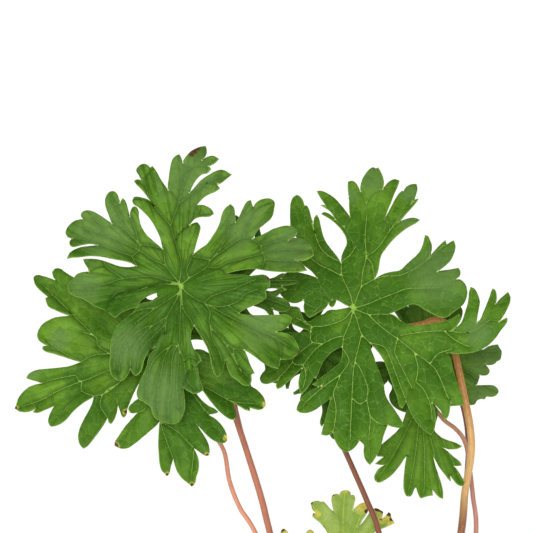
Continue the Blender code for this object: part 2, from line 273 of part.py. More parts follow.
# Each leaf: where its stalk joins it on the photograph, how far in front of the rootstock, how it leans
# (rise towards the viewer per metre across and up), how its edge curls, and its lobes (tips on the
# photograph, or for a small leaf the lobes above). A bend is a direction in degrees, its spread and how
# far the lobe's end is bent towards the viewer. A foot is where the stalk enters the soil. A basal leaf
# stands below the photograph: its place is given above the soil, with the way that it faces in degrees.
LEAVES = (
    dict(
        name="front_left", hub=(181, 286), depth=0.079, lean=(-0.04, -0.30), curl=-0.0035, reach=0.050,
        margin=FRONT_LEFT_MARGIN, colour="leaf_green",
        tips=((205, 148), (240, 206), (312, 255), (267, 288), (298, 353), (248, 384), (168, 422),
              (118, 379), (70, 289), (68, 231)),
        bends=((4, 17, 0.016), (-29, 16, -0.002), (143, 22, -0.004), (-92, 22, -0.005), (180, 18, -0.004)),
        stalk=0.0014, colour_stalk="stalk_red",
        path=((188, 298, 0.066), (205, 330, 0.052), (220, 372, 0.047), (233.5, 411, 0.045),
              (248, 455, 0.042), (261, 497, 0.038), (270, 533, 0.034), (298, 640, 0.024),
              (322, 730, 0.014)),
        foot=(-0.0125, -0.0070),
    ),
    dict(
        name="behind_left", hub=(226, 288), depth=0.0715, lean=(-0.02, -0.30), curl=-0.002, reach=0.0285,
        margin=None, lobes=BEHIND_LOBES, colour="leaf_dark", tips=(), bends=((-10, 30, -0.002),),
        stalk=0.0009, colour_stalk="stalk_red",
        path=((228, 300, 0.064), (230.5, 345, 0.0525), (233.5, 395, 0.0395), (246.5, 450, 0.036),
              (260.5, 500, 0.032), (277, 560, 0.027), (303, 650, 0.018), (330, 740, 0.009)),
        foot=(-0.0120, 0.0045),
    ),
    dict(
        name="back_left", hub=(149, 355), depth=0.0735, lean=(-0.02, -0.30), curl=-0.003, reach=0.050,
        margin=BACK_LEFT_MARGIN, colour="leaf_green",
        tips=((34, 278), (40, 334), (18, 407), (84, 447), (116, 445), (190, 484), (225, 440), (263, 405),
              (100, 284)),
        bends=((146, 25, -0.004), (202, 22, -0.004), (-80, 30, -0.005), (-20, 24, -0.007)),
        stalk=0.0010, colour_stalk="stalk_salmon",
        path=((158, 372, 0.064), (184, 405, 0.055), (207, 428, 0.0515), (223.5, 450, 0.050),
              (229.5, 481, 0.0475), (240, 508, 0.045), (256, 534, 0.042), (290, 610, 0.032),
              (330, 720, 0.018)),
        foot=(-0.0060, -0.0120),
    ),
    dict(
        name="front_right", hub=(353, 307), depth=0.0605, lean=(0.04, -0.30), curl=-0.003, reach=0.052,
        margin=FRONT_RIGHT_MARGIN, colour="leaf_green",
        tips=((297, 197), (374, 170), (455, 250), (506, 300), (440, 415), (347, 450), (262, 379),
              (282, 309), (286, 290)),
        bends=((75, 22, -0.004), (-95, 25, -0.004), (30, 20, -0.003), (0, 20, 0.003), (180, 30, -0.003)),
        stalk=0.0016, colour_stalk="stalk_tan",
        path=((366, 316, 0.050), (392, 327, 0.0455), (418, 325.5, 0.0425), (436, 320, 0.0420),
              (448, 327, 0.0430), (455, 353, 0.0445), (464, 395, 0.046), (470.5, 430, 0.047),
              (471, 455, 0.0465), (465, 492, 0.044), (461, 533, 0.040), (446, 620, 0.030),
              (418, 720, 0.019)),
        foot=(0.0105, -0.0080),
    ),
    dict(
        name="behind_middle", hub=(318, 352), depth=0.0505, lean=(0.02, -0.26), curl=-0.002, reach=0.0320,
        margin=None, lobes=HIDDEN_LOBES, colour="leaf_dark", tips=(), bends=(),
        stalk=0.0012, colour_stalk="stalk_brown",
        path=((319, 364, 0.0445), (322.5, 385, 0.0430), (328, 407, 0.0440), (337, 432, 0.0440),
              (346, 453, 0.0435), (354, 471, 0.0425), (367, 501, 0.040), (379, 533, 0.037),
              (390, 600, 0.031), (388, 700, 0.020)),
        foot=(0.0035, -0.0115),
    ),
    dict(
        name="far_right", hub=(428, 352), depth=0.0360, lean=(0.04, -0.26), curl=-0.003, reach=0.028,
        margin=RIGHT_MARGIN, colour="leaf_dark",
        tips=((401, 310), (455, 306), (498, 352), (494, 391), (410, 408), (375, 368)),
        bends=((0, 30, -0.003),),
        stalk=0.0011, colour_stalk="stalk_brown",
        path=((434, 356, 0.0270), (446, 370, 0.0255), (459, 395, 0.0250), (466.5, 425, 0.0250),
              (468, 455, 0.0245), (465, 492, 0.023), (461, 533, 0.021), (447, 620, 0.015),
              (420, 720, 0.006)),
        foot=(0.0120, 0.0050),
    ),
    dict(
        name="low_right", hub=(419, 402), depth=0.0590, lean=(0.00, -0.34), curl=-0.003, reach=0.036,
        margin=LOW_RIGHT_MARGIN, colour="leaf_bright",
        tips=((378, 479), (408, 493), (424, 495), (441, 495), (462, 483), (459, 446)),
        bends=((-90, 60, -0.004),),
        stalk=0.0010, colour_stalk="stalk_pink",
        path=((425, 402, 0.0480), (433.5, 407, 0.0455), (444, 420, 0.0445), (454.5, 428, 0.0430),
              (462.5, 437, 0.0400), (467, 449, 0.0375), (470, 470, 0.0360), (473, 497, 0.0350),
              (476, 533, 0.033), (468, 620, 0.026), (438, 720, 0.016)),
        foot=(0.0145, -0.0015),
    ),
    dict(
        name="low_middle", hub=(345, 560), depth=0.0310, lean=(0.00, -0.25), curl=-0.002, reach=0.026,
        margin=LOW_MIDDLE_MARGIN, colour="leaf_yellow",
        tips=((312, 504), (345, 491), (366, 506), (388, 517), (310, 552), (382, 560)),
        bends=(), stalk=0.0011, colour_stalk="stalk_pale",
        path=((347, 572, 0.0250), (352, 610, 0.0190), (360, 680, 0.0130), (366, 740, 0.0090)),
        foot=(-0.0005, -0.0080),
    ),
    dict(
        name="low_left", hub=(300, 572), depth=0.0440, lean=(0.00, -0.30), curl=-0.002, reach=0.0165,
        margin=None, lobes=DRY_LOBES, colour="leaf_yellow", tips=(), bends=(),
        stalk=0.0010, colour_stalk="stalk_pale",
        path=((304, 584, 0.0370), (314, 620, 0.0290), (330, 680, 0.0210), (345, 740, 0.0130)),
        foot=(-0.0080, -0.0015),
    ),
    dict(
        name="basal_right", at=(0.050, -0.004, 0.058), faces=(-6, 56), curl=-0.003, reach=0.0300,
        margin=None, lobes=SMALL_LOBES, colour="leaf_green", bends=(),
        stalk=0.0011, colour_stalk="stalk_red", foot=(0.0150, 0.0085),
    ),
    dict(
        name="basal_front", at=(0.019, -0.043, 0.044), faces=(-66, 52), curl=-0.003, reach=0.0250,
        margin=None, lobes=SMALL_LOBES, colour="leaf_bright", bends=(),
        stalk=0.0010, colour_stalk="stalk_red", foot=(0.0080, -0.0165),
    ),
    dict(
        name="basal_left", at=(-0.051, -0.017, 0.047), faces=(196, 55), curl=-0.003, reach=0.0290,
        margin=None, lobes=SMALL_LOBES, colour="leaf_green", bends=(),
        stalk=0.0011, colour_stalk="stalk_red", foot=(-0.0185, -0.0030),
    ),
    dict(
        name="basal_back", at=(-0.014, 0.046, 0.060), faces=(104, 56), curl=-0.003, reach=0.0300,
        margin=None, lobes=SMALL_LOBES, colour="leaf_dark", bends=(),
        stalk=0.0011, colour_stalk="stalk_red", foot=(-0.0030, 0.0130),
    ),
)

COLOURS = dict(
    leaf_green=((0.105, 0.215, 0.025), 0.48),
    leaf_dark=((0.060, 0.150, 0.020), 0.50),
    leaf_bright=((0.120, 0.260, 0.030), 0.48),
    leaf_yellow=((0.330, 0.470, 0.090), 0.52),
    stalk_red=((0.480, 0.160, 0.090), 0.45),
    stalk_salmon=((0.720, 0.330, 0.210), 0.45),
    stalk_tan=((0.480, 0.300, 0.130), 0.45),
    stalk_brown=((0.300, 0.110, 0.065), 0.48),
    stalk_pink=((0.480, 0.200, 0.160), 0.45),
    stalk_pale=((0.450, 0.420, 0.160), 0.50),
    pot_clay=((0.340, 0.120, 0.060), 0.60),
    soil_dark=((0.035, 0.022, 0.014), 0.95),
    crown_brown=((0.110, 0.055, 0.030), 0.85),
)

RIGHT = Vector((1.0, 0.0, 0.0))
UP = Vector((0.0, math.sin(VIEW_ELEVATION), math.cos(VIEW_ELEVATION)))
OUT = Vector((0.0, -math.cos(VIEW_ELEVATION), math.sin(VIEW_ELEVATION)))
ROOT = Vector((0.0, 0.0, SOIL_TOP))


def photo_point(x, y, depth):
    """The point seen at (x, y) of the photograph, depth in front of the rootstock."""
    near = (VIEW_DISTANCE - depth + VIEW_DEPTH) / VIEW_DISTANCE
    across = (x - MIDDLE_PX[0]) * PIXEL * near - (ROOT_PX[0] - MIDDLE_PX[0]) * PIXEL
    rise = (MIDDLE_PX[1] - y) * PIXEL * near - (MIDDLE_PX[1] - ROOT_PX[1]) * PIXEL
    return ROOT + RIGHT * across + UP * rise + OUT * depth


def leaf_margin(leaf):
    """The leaf's margin in metres from where its stalk joins it, x across and y up."""
    if leaf["margin"] is None:
        return small_margin(leaf["lobes"], leaf["reach"])
    hub_x, hub_y = leaf["hub"]
    return [((x - hub_x) * PIXEL, (hub_y - y) * PIXEL) for x, y in leaf["margin"]]


def leaf_ribs(leaf):
    """The far ends of the leaf's main ribs."""
    if leaf["margin"] is None:
        ribs = []
        for angle, share in leaf["lobes"]:
            length = leaf["reach"] * share
            turn = math.radians(angle)
            ribs.append((length * math.cos(turn), length * math.sin(turn)))
        return ribs
    hub_x, hub_y = leaf["hub"]
    return [((x - hub_x) * PIXEL, (hub_y - y) * PIXEL) for x, y in leaf["tips"]]


def rib_distance(ribs, x, y):
    """How far a point lies from the nearest main rib."""
    nearest = 1.0
    for rib_x, rib_y in ribs:
        share = (x * rib_x + y * rib_y) / (rib_x * rib_x + rib_y * rib_y)
        share = min(max(share, 0.0), 1.0)
        nearest = min(nearest, math.hypot(x - share * rib_x, y - share * rib_y))
    return nearest


def relief(leaf, ribs, x, y):
    """How far the blade stands towards the viewer at a point, from where its stalk joins it."""
    radius = math.hypot(x, y)
    share = radius / leaf["reach"]
    height = leaf["curl"] * share * share
    if "lean" in leaf:
        height += leaf["lean"][0] * x + leaf["lean"][1] * y
    angle = math.degrees(math.atan2(y, x))
    for direction, spread, amount in leaf["bends"]:
        away = (angle - direction + 180.0) % 360.0 - 180.0
        height += amount * math.exp(-((away / spread) ** 2)) * share ** 2
    between = rib_distance(ribs, x, y) / GROOVE_WIDTH
    inner = min(1.0, radius / 0.008)
    height += GROOVE * (1.0 - math.exp(-between * between)) * inner
    height += HUB_PIT * (1.0 - math.exp(-((radius / 0.005) ** 2)))
    height += RIPPLE * math.sin(330.0 * x + 1.3) * math.sin(290.0 * y + 0.4) * min(1.0, share * 1.5)
    return height


def blade_point(leaf, ribs, x, y):
    if "at" in leaf:
        turn, rise = (math.radians(angle) for angle in leaf["faces"])
        facing = Vector((math.cos(turn) * math.cos(rise), math.sin(turn) * math.cos(rise), math.sin(rise)))
        along = Vector((math.cos(turn) * math.sin(rise), math.sin(turn) * math.sin(rise), -math.cos(rise)))
        across = along.cross(facing)
        return ROOT + Vector(leaf["at"]) + across * x + along * y + facing * relief(leaf, ribs, x, y)
    depth = leaf["depth"] + relief(leaf, ribs, x, y)
    return photo_point(leaf["hub"][0] + x / PIXEL, leaf["hub"][1] - y / PIXEL, depth)


def blade_normal(leaf, ribs):
    """The way the blade faces where its stalk joins it."""
    step = 0.002
    across = blade_point(leaf, ribs, step, 0.0) - blade_point(leaf, ribs, -step, 0.0)
    rise = blade_point(leaf, ribs, 0.0, step) - blade_point(leaf, ribs, 0.0, -step)
    return across.cross(rise).normalized()


def inside(margin, x, y):
    found = False
    count = len(margin)
    for index in range(count):
        x0, y0 = margin[index]
        x1, y1 = margin[(index + 1) % count]
        if (y0 > y) != (y1 > y) and x < x0 + (y - y0) * (x1 - x0) / (y1 - y0):
            found = not found
    return found


def margin_distance(margin, x, y):
    ends = np.array(margin)
    run = np.roll(ends, -1, axis=0) - ends
    share = ((x - ends[:, 0]) * run[:, 0] + (y - ends[:, 1]) * run[:, 1]) / (run ** 2).sum(axis=1)
    share = np.clip(share, 0.0, 1.0)
    return float(np.hypot(x - ends[:, 0] - share * run[:, 0], y - ends[:, 1] - share * run[:, 1]).min())


def inner_points(margin, ribs):
    """Points inside a leaf: along its ribs, then an even grid between them."""
    chosen = [(0.0, 0.0)]

    def offer(x, y, apart):
        if not inside(margin, x, y) or margin_distance(margin, x, y) < GRID_MARGIN:
            return
        if min(math.hypot(x - a, y - b) for a, b in chosen) > apart:
            chosen.append((x, y))

    for rib_x, rib_y in ribs:
        length = math.hypot(rib_x, rib_y)
        for step in range(1, int(length / GRID) + 1):
            offer(rib_x * step * GRID / length, rib_y * step * GRID / length, GRID * 0.7)
    reach = max(math.hypot(x, y) for x, y in margin)
    rows = int(reach / (GRID * 0.866)) + 1
    for row in range(-rows, rows + 1):
        for column in range(-rows - 1, rows + 2):
            offer((column + 0.5 * (row % 2)) * GRID, row * GRID * 0.866, GRID * 0.72)
    return chosen


def new_object(name, mesh, colour):
    obj = bpy.data.objects.new(name, mesh)
    plant.objects.link(obj)
    mesh.materials.append(materials[colour])
    return obj


def build_blade(leaf):
    """One leaf blade: a cut outline filled with triangles, given its form, then its thickness."""
    margin = leaf_margin(leaf)
    ribs = leaf_ribs(leaf)
    flat = [Vector(point) for point in margin + inner_points(margin, ribs)]
    found = delaunay_2d_cdt(flat, [], [list(range(len(margin)))], 1, 1e-7)
    points = [blade_point(leaf, ribs, point.x, point.y) for point in found[0]]
    mesh = bpy.data.meshes.new("blade_" + leaf["name"])
    mesh.from_pydata(points, [], [list(face) for face in found[2]])
    work = bmesh.new()
    work.from_mesh(mesh)
    facing = blade_normal(leaf, ribs)
    for face in work.faces:
        if face.normal.dot(facing) < 0:
            face.normal_flip()
    work.to_mesh(mesh)
    work.free()
    obj = new_object("blade_" + leaf["name"], mesh, leaf["colour"])
    thick = obj.modifiers.new("thickness", "SOLIDIFY")
    thick.thickness = BLADE
    thick.offset = 0.0
    return obj


def smooth_path(guides, parts):
    """A rounded path through the guide points."""
    ends = [guides[0] * 2 - guides[1]] + guides + [guides[-1] * 2 - guides[-2]]
    path = []
    for index in range(1, len(ends) - 2):
        a, b, c, d = ends[index - 1 : index + 3]
        for step in range(parts):
            t = step / parts
            bend = (2 * a - 5 * b + 4 * c - d) * t * t
            twist = (3 * b - a - 3 * c + d) * t ** 3
            path.append(0.5 * (2 * b + (c - a) * t + bend + twist))
    path.append(guides[-1])
    return path


def build_stalk(leaf):
    """One leaf stalk: from just behind its blade down into its hole in the soil."""
    ribs = leaf_ribs(leaf)
    hub = blade_point(leaf, ribs, 0.0, 0.0)
    facing = blade_normal(leaf, ribs)
    start = hub - facing * (BLADE / 2 + FIT + 0.00012)
    neck = hub - facing * 0.0045
    foot_x, foot_y = leaf["foot"]
    above = Vector((foot_x, foot_y, SOIL_TOP + 0.010))
    if "path" in leaf:
        guides = [neck] + [photo_point(*point) for point in leaf["path"]]
    else:
        bow = neck - facing * 0.008
        guides = [neck, bow.lerp(above, 0.12), neck.lerp(above, 0.50) - facing * 0.006]
    guides.append(above)
    path = [start] + smooth_path(guides, 2 if len(guides) < 10 else 1)
    path.append(Vector((foot_x, foot_y, SOIL_TOP + 0.0045)))
    path.append(Vector((foot_x, foot_y, SOIL_TOP - STALK_FOOT)))
    curve = bpy.data.curves.new("stalk_" + leaf["name"], "CURVE")
    curve.dimensions = "3D"
    curve.bevel_depth = leaf["stalk"]
    curve.bevel_resolution = 2
    curve.use_fill_caps = True
    spline = curve.splines.new("POLY")
    spline.points.add(len(path) - 1)
    for index, point in enumerate(path):
        spline.points[index].co = (*point, 1.0)
        spline.points[index].radius = 0.80 + 0.20 * index / (len(path) - 1)
    return new_object("stalk_" + leaf["name"], curve, leaf["colour_stalk"])


def build_lathe(name, profile, steps, colour):
    """A turned piece: the profile runs down its outer side from the top to the bottom."""
    mesh = bpy.data.meshes.new(name)
    edges = [(index, index + 1) for index in range(len(profile) - 1)]
    mesh.from_pydata([(radius, 0.0, height) for radius, height in profile], edges, [])
    obj = new_object(name, mesh, colour)
    turn = obj.modifiers.new("turn", "SCREW")
    turn.steps = steps
    turn.render_steps = steps
    turn.use_merge_vertices = True
    turn.merge_threshold = 0.00005
    turn.use_normal_calculate = True
    return obj


def build_cutter(name, x, y, bottom, top, radius, sides):
    mesh = bpy.data.meshes.new(name)
    work = bmesh.new()
    bmesh.ops.create_cone(
        work, cap_ends=True, cap_tris=False, segments=sides,
        radius1=radius, radius2=radius, depth=top - bottom,
    )
    bmesh.ops.translate(work, verts=work.verts, vec=(x, y, (top + bottom) / 2))
    work.to_mesh(mesh)
    work.free()
    obj = bpy.data.objects.new(name, mesh)
    cutters.objects.link(obj)
    obj.hide_render = True
    obj.display_type = "WIRE"
    return obj


def cut(obj, cutter):
    boolean = obj.modifiers.new(cutter.name, "BOOLEAN")
    boolean.operation = "DIFFERENCE"
    boolean.solver = "EXACT"
    boolean.object = cutter


def build_pot():
    def outer(height):
        return POT_BASE_R + POT_TAPER * height

    rim = POT_HEIGHT - RIM_DROP
    top_in = outer(POT_HEIGHT) - POT_WALL
    profile = [
        (0.0, POT_FLOOR),
        (outer(POT_FLOOR) - POT_WALL, POT_FLOOR),
        (top_in, POT_HEIGHT - 0.0008),
        (top_in + 0.0006, POT_HEIGHT),
        (outer(POT_HEIGHT) + RIM_OUT - 0.001, POT_HEIGHT),
        (outer(POT_HEIGHT) + RIM_OUT, POT_HEIGHT - 0.001),
        (outer(rim) + RIM_OUT, rim + 0.0006),
        (outer(rim) + RIM_OUT - 0.0006, rim),
        (outer(rim), rim),
        (outer(0.002), 0.002),
        (POT_BASE_R - 0.0015, 0.0),
        (0.0, 0.0),
    ]
    pot = build_lathe("pot", profile, POT_STEPS, "pot_clay")
    for index in range(DRAIN_COUNT):
        turn = 2 * math.pi * (index + 0.5) / DRAIN_COUNT
        x = DRAIN_RING * math.cos(turn)
        y = DRAIN_RING * math.sin(turn)
        cut(pot, build_cutter(f"drain_{index + 1}", x, y, -0.002, POT_FLOOR + 0.002, DRAIN_R, 16))


def build_soil():
    def inner(height):
        return POT_BASE_R + POT_TAPER * height - POT_WALL - FIT

    profile = [
        (0.0, SOIL_TOP + 0.0001),
        (0.020, SOIL_TOP),
        (0.042, SOIL_TOP - SOIL_DOME * 0.5),
        (inner(SOIL_TOP - SOIL_DOME), SOIL_TOP - SOIL_DOME),
        (inner(POT_FLOOR + FIT), POT_FLOOR + FIT),
        (0.0, POT_FLOOR + FIT),
    ]
    soil = build_lathe("soil", profile, SOIL_STEPS, "soil_dark")
    top = SOIL_TOP + 0.004
    cut(soil, build_cutter("hole_crown", 0.0, 0.0, SOIL_TOP - 0.0093, top, 0.0064, 16))
    for leaf in LEAVES:
        x, y = leaf["foot"]
        radius = (leaf["stalk"] + FIT) / math.cos(math.pi / HOLE_SIDES)
        bottom = SOIL_TOP - STALK_FOOT - FIT
        cut(soil, build_cutter("hole_" + leaf["name"], x, y, bottom, top, radius, HOLE_SIDES))


def build_crown():
    profile = [
        (0.0, SOIL_TOP + 0.0085),
        (0.0026, SOIL_TOP + 0.0080),
        (0.0048, SOIL_TOP + 0.0058),
        (0.0052, SOIL_TOP + 0.0035),
        (0.0060, SOIL_TOP + 0.0014),
        (0.0059, SOIL_TOP - 0.0086),
        (0.0, SOIL_TOP - 0.0090),
    ]
    build_lathe("crown", profile, 14, "crown_brown")


def make_material(name):
    colour, roughness = COLOURS[name]
    material = bpy.data.materials.new(name)
    material.use_nodes = True
    shader = material.node_tree.nodes["Principled BSDF"]
    shader.inputs["Base Color"].default_value = (*colour, 1.0)
    shader.inputs["Roughness"].default_value = roughness
    shader.inputs["Metallic"].default_value = 0.0
    material.diffuse_color = (*colour, 1.0)
    return material


for old in list(bpy.data.objects):
    bpy.data.objects.remove(old, do_unlink=True)
plant = bpy.data.collections.new("hardy_geranium")
cutters = bpy.data.collections.new("cutters")
bpy.context.scene.collection.children.link(plant)
bpy.context.scene.collection.children.link(cutters)
cutters.hide_render = True
materials = {name: make_material(name) for name in COLOURS}
build_pot()
build_soil()
build_crown()
for leaf in LEAVES:
    build_blade(leaf)
    build_stalk(leaf)
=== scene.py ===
"""The hardy geranium, dressed: fine veined leaves, stalks, rootstock, loose soil and a plain pot."""
import math
import random

import bmesh
import bpy
import numpy as np
from mathutils import Euler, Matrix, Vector, noise
from mathutils.geometry import delaunay_2d_cdt
from mathutils.kdtree import KDTree


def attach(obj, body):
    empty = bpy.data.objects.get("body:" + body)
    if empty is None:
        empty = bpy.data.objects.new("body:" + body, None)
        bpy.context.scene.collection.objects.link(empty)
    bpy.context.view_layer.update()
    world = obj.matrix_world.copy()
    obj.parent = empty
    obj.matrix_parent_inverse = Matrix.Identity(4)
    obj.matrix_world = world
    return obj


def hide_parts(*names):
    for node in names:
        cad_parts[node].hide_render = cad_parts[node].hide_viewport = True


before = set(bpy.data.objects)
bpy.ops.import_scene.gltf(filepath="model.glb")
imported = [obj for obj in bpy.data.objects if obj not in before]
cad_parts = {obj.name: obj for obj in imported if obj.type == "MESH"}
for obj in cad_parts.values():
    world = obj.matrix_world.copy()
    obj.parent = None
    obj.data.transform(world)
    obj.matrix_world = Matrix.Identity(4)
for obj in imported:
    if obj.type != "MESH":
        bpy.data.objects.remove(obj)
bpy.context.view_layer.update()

# Photograph: what one of its pixels measures, and where its middle and the rootstock lie on it
PIXEL = 0.000357
PHOTO_SIDE = 533
MIDDLE_PX = (266.5, 266.5)
ROOT_PX = (372.0, 830.0)
VIEW_ELEVATION = math.radians(20.0)
VIEW_DISTANCE = 1.5
VIEW_DEPTH = 0.060

# Pot and soil, as in the solids
POT_HEIGHT = 0.108
POT_BASE_R = 0.048
POT_TAPER = 0.1327
POT_WALL = 0.002
POT_FLOOR = 0.0028
RIM_DROP = 0.012
RIM_OUT = 0.003
DRAIN_COUNT = 6
DRAIN_R = 0.004
DRAIN_RING = 0.036
SOIL_TOP = 0.096
SOIL_DOME = 0.0025
FIT = 0.0003

# How finely the dressed pot and soil are made, how many crumbs are strewn over the soil, and how many
# dry scales stand round the rootstock, each turned so far from the last
POT_STEPS = 144
SOIL_STEPS = 150
SOIL_RINGS = 60
CRUMBS = 900
SCALES = 34
SCALE_TURN = 2.399963

# Leaves and stalks, as in the solids
BLADE = 0.0007
GROOVE = 0.0012
GROOVE_WIDTH = 0.0050
RIPPLE = 0.0005
HUB_PIT = 0.0010
STALK_FOOT = 0.009

# How finely a dressed leaf is made: its grid and the grid's gap to its lines, its margin, its veins and
# its stalk
FINE = 0.00062
CLEAR = 0.0003
MARGIN_STEP = 0.00050
VEIN_STEP = 0.00060
NEAR_STEP = 0.00008
STALK_PARTS = 10

# A margin turns sharply at a corner. A tooth or notch turns at least so much, seen over this length
CORNER = math.radians(62)
TOOTH = math.radians(48)
TOOTH_ARM = 0.0019

# A tooth or notch farther than this from the veins gets a finer vein of its own, which is at least so long
TIP_REACH = 0.0016
NOTCH_REACH = 0.0009
SHORTEST_TWIG = 0.0012

# The dressed blade: thinner, with fields raised between its veins, a fine unevenness, a drooping edge
# and a step where one lobe lies over the next, with a painted shadow on the lower lobe along the step
THIN_BLADE = 0.00042
SINK = 0.00068
PUCKER = 0.00058
PUCKER_WIDTH = 0.0014
WAVE = 0.00009
EDGE_DROP = 0.00022
EDGE_WIDTH = 0.0007
FOLD_LIFT = 0.0011
FOLD_OVER = 0.0045
FOLD_UNDER = 0.003
FOLD_SHADE = 0.0011

# How far dried, yellowed and toned places (tone partly painted light and shade) run past their radius, how
# strongly tones show, the radius of the pale dot in a notch, and how far from a line its distance is kept
DRY_SPREAD = 1.6
YELLOW_SPREAD = 2.3
TONE_AND_LIGHT_SPREAD = 1.5
TONE_AND_LIGHT_AMOUNT = 1.5
NOTCH_DOT = 0.00055
FAR = 0.01

# Light: the sky, a broad sun with its tilt in degrees, and the floor's own glow
SKY = 0.40
SUN = 2.5
SUN_ANGLE = 40.0
SUN_TILT = (61.0, -15.0)
FLOOR_GLOW = 0.34

# Leaf margins, clockwise, as points of the photograph (pixels from its top left corner).
FRONT_LEFT_MARGIN = (
    (162.5, 249), (160, 238), (156, 229), (150, 219), (144, 212.5), (138.5, 207.5), (133.5, 204),
    (132.3, 200.5), (135, 197), (138.5, 197), (144, 198.2), (149.5, 200.2), (144.5, 193), (139, 187),
    (135.5, 183.5), (134, 181), (137, 179.5), (141.3, 180.5), (138.5, 175), (136.3, 171), (138.5, 166.3),
    (144, 164), (149, 166.3), (150.2, 167.8), (152.3, 166), (155.5, 170), (161, 180), (168, 190),
    (167.8, 185), (168.5, 179), (170, 169), (171.5, 162), (175, 156.5), (179.5, 154.3), (181.3, 158),
    (182.6, 162.5), (184.8, 158), (188, 154), (191, 151.3), (195, 149), (200, 147), (205.5, 145.8),
    (206.7, 150), (206.3, 155), (201.8, 160.2), (207.5, 157), (213, 156), (219, 158.8), (215, 163),
    (209, 166.5), (211, 169), (207.5, 173), (202, 174.5), (197, 179), (193, 185), (189.3, 193),
    (194.8, 187), (200, 181), (205, 177.3), (210, 174.3), (215, 171.5), (222, 170), (232, 174.7),
    (227, 178.5), (223, 182), (217, 185), (220, 188.5), (215, 192), (210, 194), (204, 197.5),
    (196.8, 205.2), (202, 205), (208, 207), (212, 210), (214, 214), (209, 216.5), (201, 217), (195, 218.8),
    (189.8, 225), (193.5, 223), (197.5, 222.3), (200.5, 227), (199.8, 232), (197.3, 240), (195.2, 248),
    (193.3, 254), (200, 249), (207, 244), (212, 237), (217, 229), (220, 222), (222, 214), (225, 208.5),
    (230.5, 204), (234, 208), (235.2, 215), (236, 222.5), (239, 217), (243, 208), (247, 201.5), (251, 200),
    (253, 207.5), (257, 202), (263, 199), (271, 199), (274.5, 202), (274.5, 207), (272, 217), (265, 224),
    (259, 229), (252.6, 239), (261, 235.5), (270, 231), (280, 227), (290, 226), (295, 228.5), (298, 231.5),
    (296, 235.5), (288.5, 240.4), (293, 238.4), (300, 238.5), (306, 242), (311, 246), (314, 255),
    (310, 258), (304, 260.5), (295.3, 260.2), (302, 263.5), (307, 270.3), (295, 272.3), (285, 272),
    (275, 271.5), (266, 270.5), (256, 269), (246, 269.4), (235, 271.3), (226, 273.8), (233, 274.6),
    (241, 274.4), (250, 276), (258, 275), (265, 275.5), (269, 278), (269.5, 287), (265.8, 291),
    (266.5, 297), (259, 303), (250, 307), (243, 310.3), (239, 313.3), (243.5, 314.4), (252, 315),
    (266, 315), (278, 314.6), (288, 315), (292, 318.2), (288.5, 326), (283, 329.8), (276.5, 331.6),
    (283, 332.6), (289, 334.6), (294.5, 339), (298.7, 347.5), (300, 353), (295.5, 355.5), (291, 358.6),
    (280, 359.7), (279.8, 364), (278, 369), (269, 366), (263, 363), (257, 358.5), (250.5, 353.8),
    (244.5, 350), (247.8, 357.5), (250, 364), (254.8, 373), (251.3, 374.5), (251.2, 382), (248.6, 386),
    (243, 385), (238, 381), (231.5, 376.3), (227.3, 368), (225.7, 360.7), (223.2, 368), (221, 374.5),
    (217.7, 377), (214.5, 374.5), (212, 368), (210.5, 360), (208.8, 352), (205, 343.5), (200.5, 336),
    (196.6, 330), (194.2, 326), (191.3, 332), (191, 339), (192.3, 344.5), (194.5, 350), (199, 354.5),
    (201.8, 360.8), (198, 363.6), (198.4, 370), (199.2, 377.5), (201.2, 382.5), (203.7, 389.3),
    (200, 392.5), (194, 393.7), (188.5, 391.5), (183.5, 388.3), (184.6, 398), (185, 408.7), (183, 415),
    (179, 422), (173, 424), (168, 423.6), (161.7, 421.5), (156, 418.7), (152.3, 414), (151, 408),
    (143.5, 402), (138.4, 399), (136.6, 393.7), (138, 387), (140.5, 380), (144, 372.5), (146.7, 366),
    (148.4, 358.5), (152, 352), (155, 347.5), (149.5, 350.5), (146, 356.5), (143.5, 363), (142, 369),
    (139, 374), (136, 375.7), (133, 374), (130.5, 370), (125, 378.6), (121, 381), (117, 380),
    (111.7, 375.6), (109.5, 366), (110, 355), (110.5, 345), (112.6, 336), (118, 325.5), (125, 319),
    (133, 312.5), (140, 304), (150, 301.4), (157.4, 297), (156, 293), (148, 296.2), (140.5, 301.4),
    (137, 306.8), (130, 309), (121, 313), (115.5, 318), (111.5, 315.5), (106.5, 311), (100, 308.6),
    (93, 305.2), (87, 301.3), (80.6, 298), (74, 295.8), (69.3, 292), (68, 287), (69.6, 282.6), (73, 279),
    (76, 275), (80.5, 272.7), (88.8, 271.6), (87.6, 268), (84.7, 263.5), (83, 259.3), (88, 258.9),
    (96, 259.3), (103, 260.6), (109, 262.5), (115, 265), (122, 267), (129, 267.3), (136.6, 266.3),
    (130, 262.6), (120, 260.3), (111, 258.8), (103, 257.2), (95, 256.2), (88, 256.2), (80, 257.3),
    (73, 257.6), (67, 258.6), (69, 254), (73, 250.6), (80, 247.6), (88, 246.4), (97.6, 245.6), (92, 244),
    (84, 244.6), (77, 246.3), (72.5, 246.9), (69.7, 244.5), (69.8, 241), (72.2, 238.6), (67.5, 236.8),
    (65.6, 233), (67, 228.5), (71, 223.5), (77, 220), (83.2, 219.3), (80.8, 215.5), (82.6, 212),
    (87, 210.5), (94, 212), (103, 217.3), (111.8, 223.7), (108.5, 214.5), (105.3, 205), (105.5, 198),
    (108.5, 192.8), (112.3, 191), (116.4, 193), (119.2, 199), (120.3, 202.6), (122.8, 198.2),
    (125.3, 200.5), (128, 209), (129.7, 217), (130.5, 211), (133.3, 206.8), (136.2, 207), (138.5, 211),
    (139.2, 219), (142, 227.5), (147, 235.3), (155, 242.3),
)
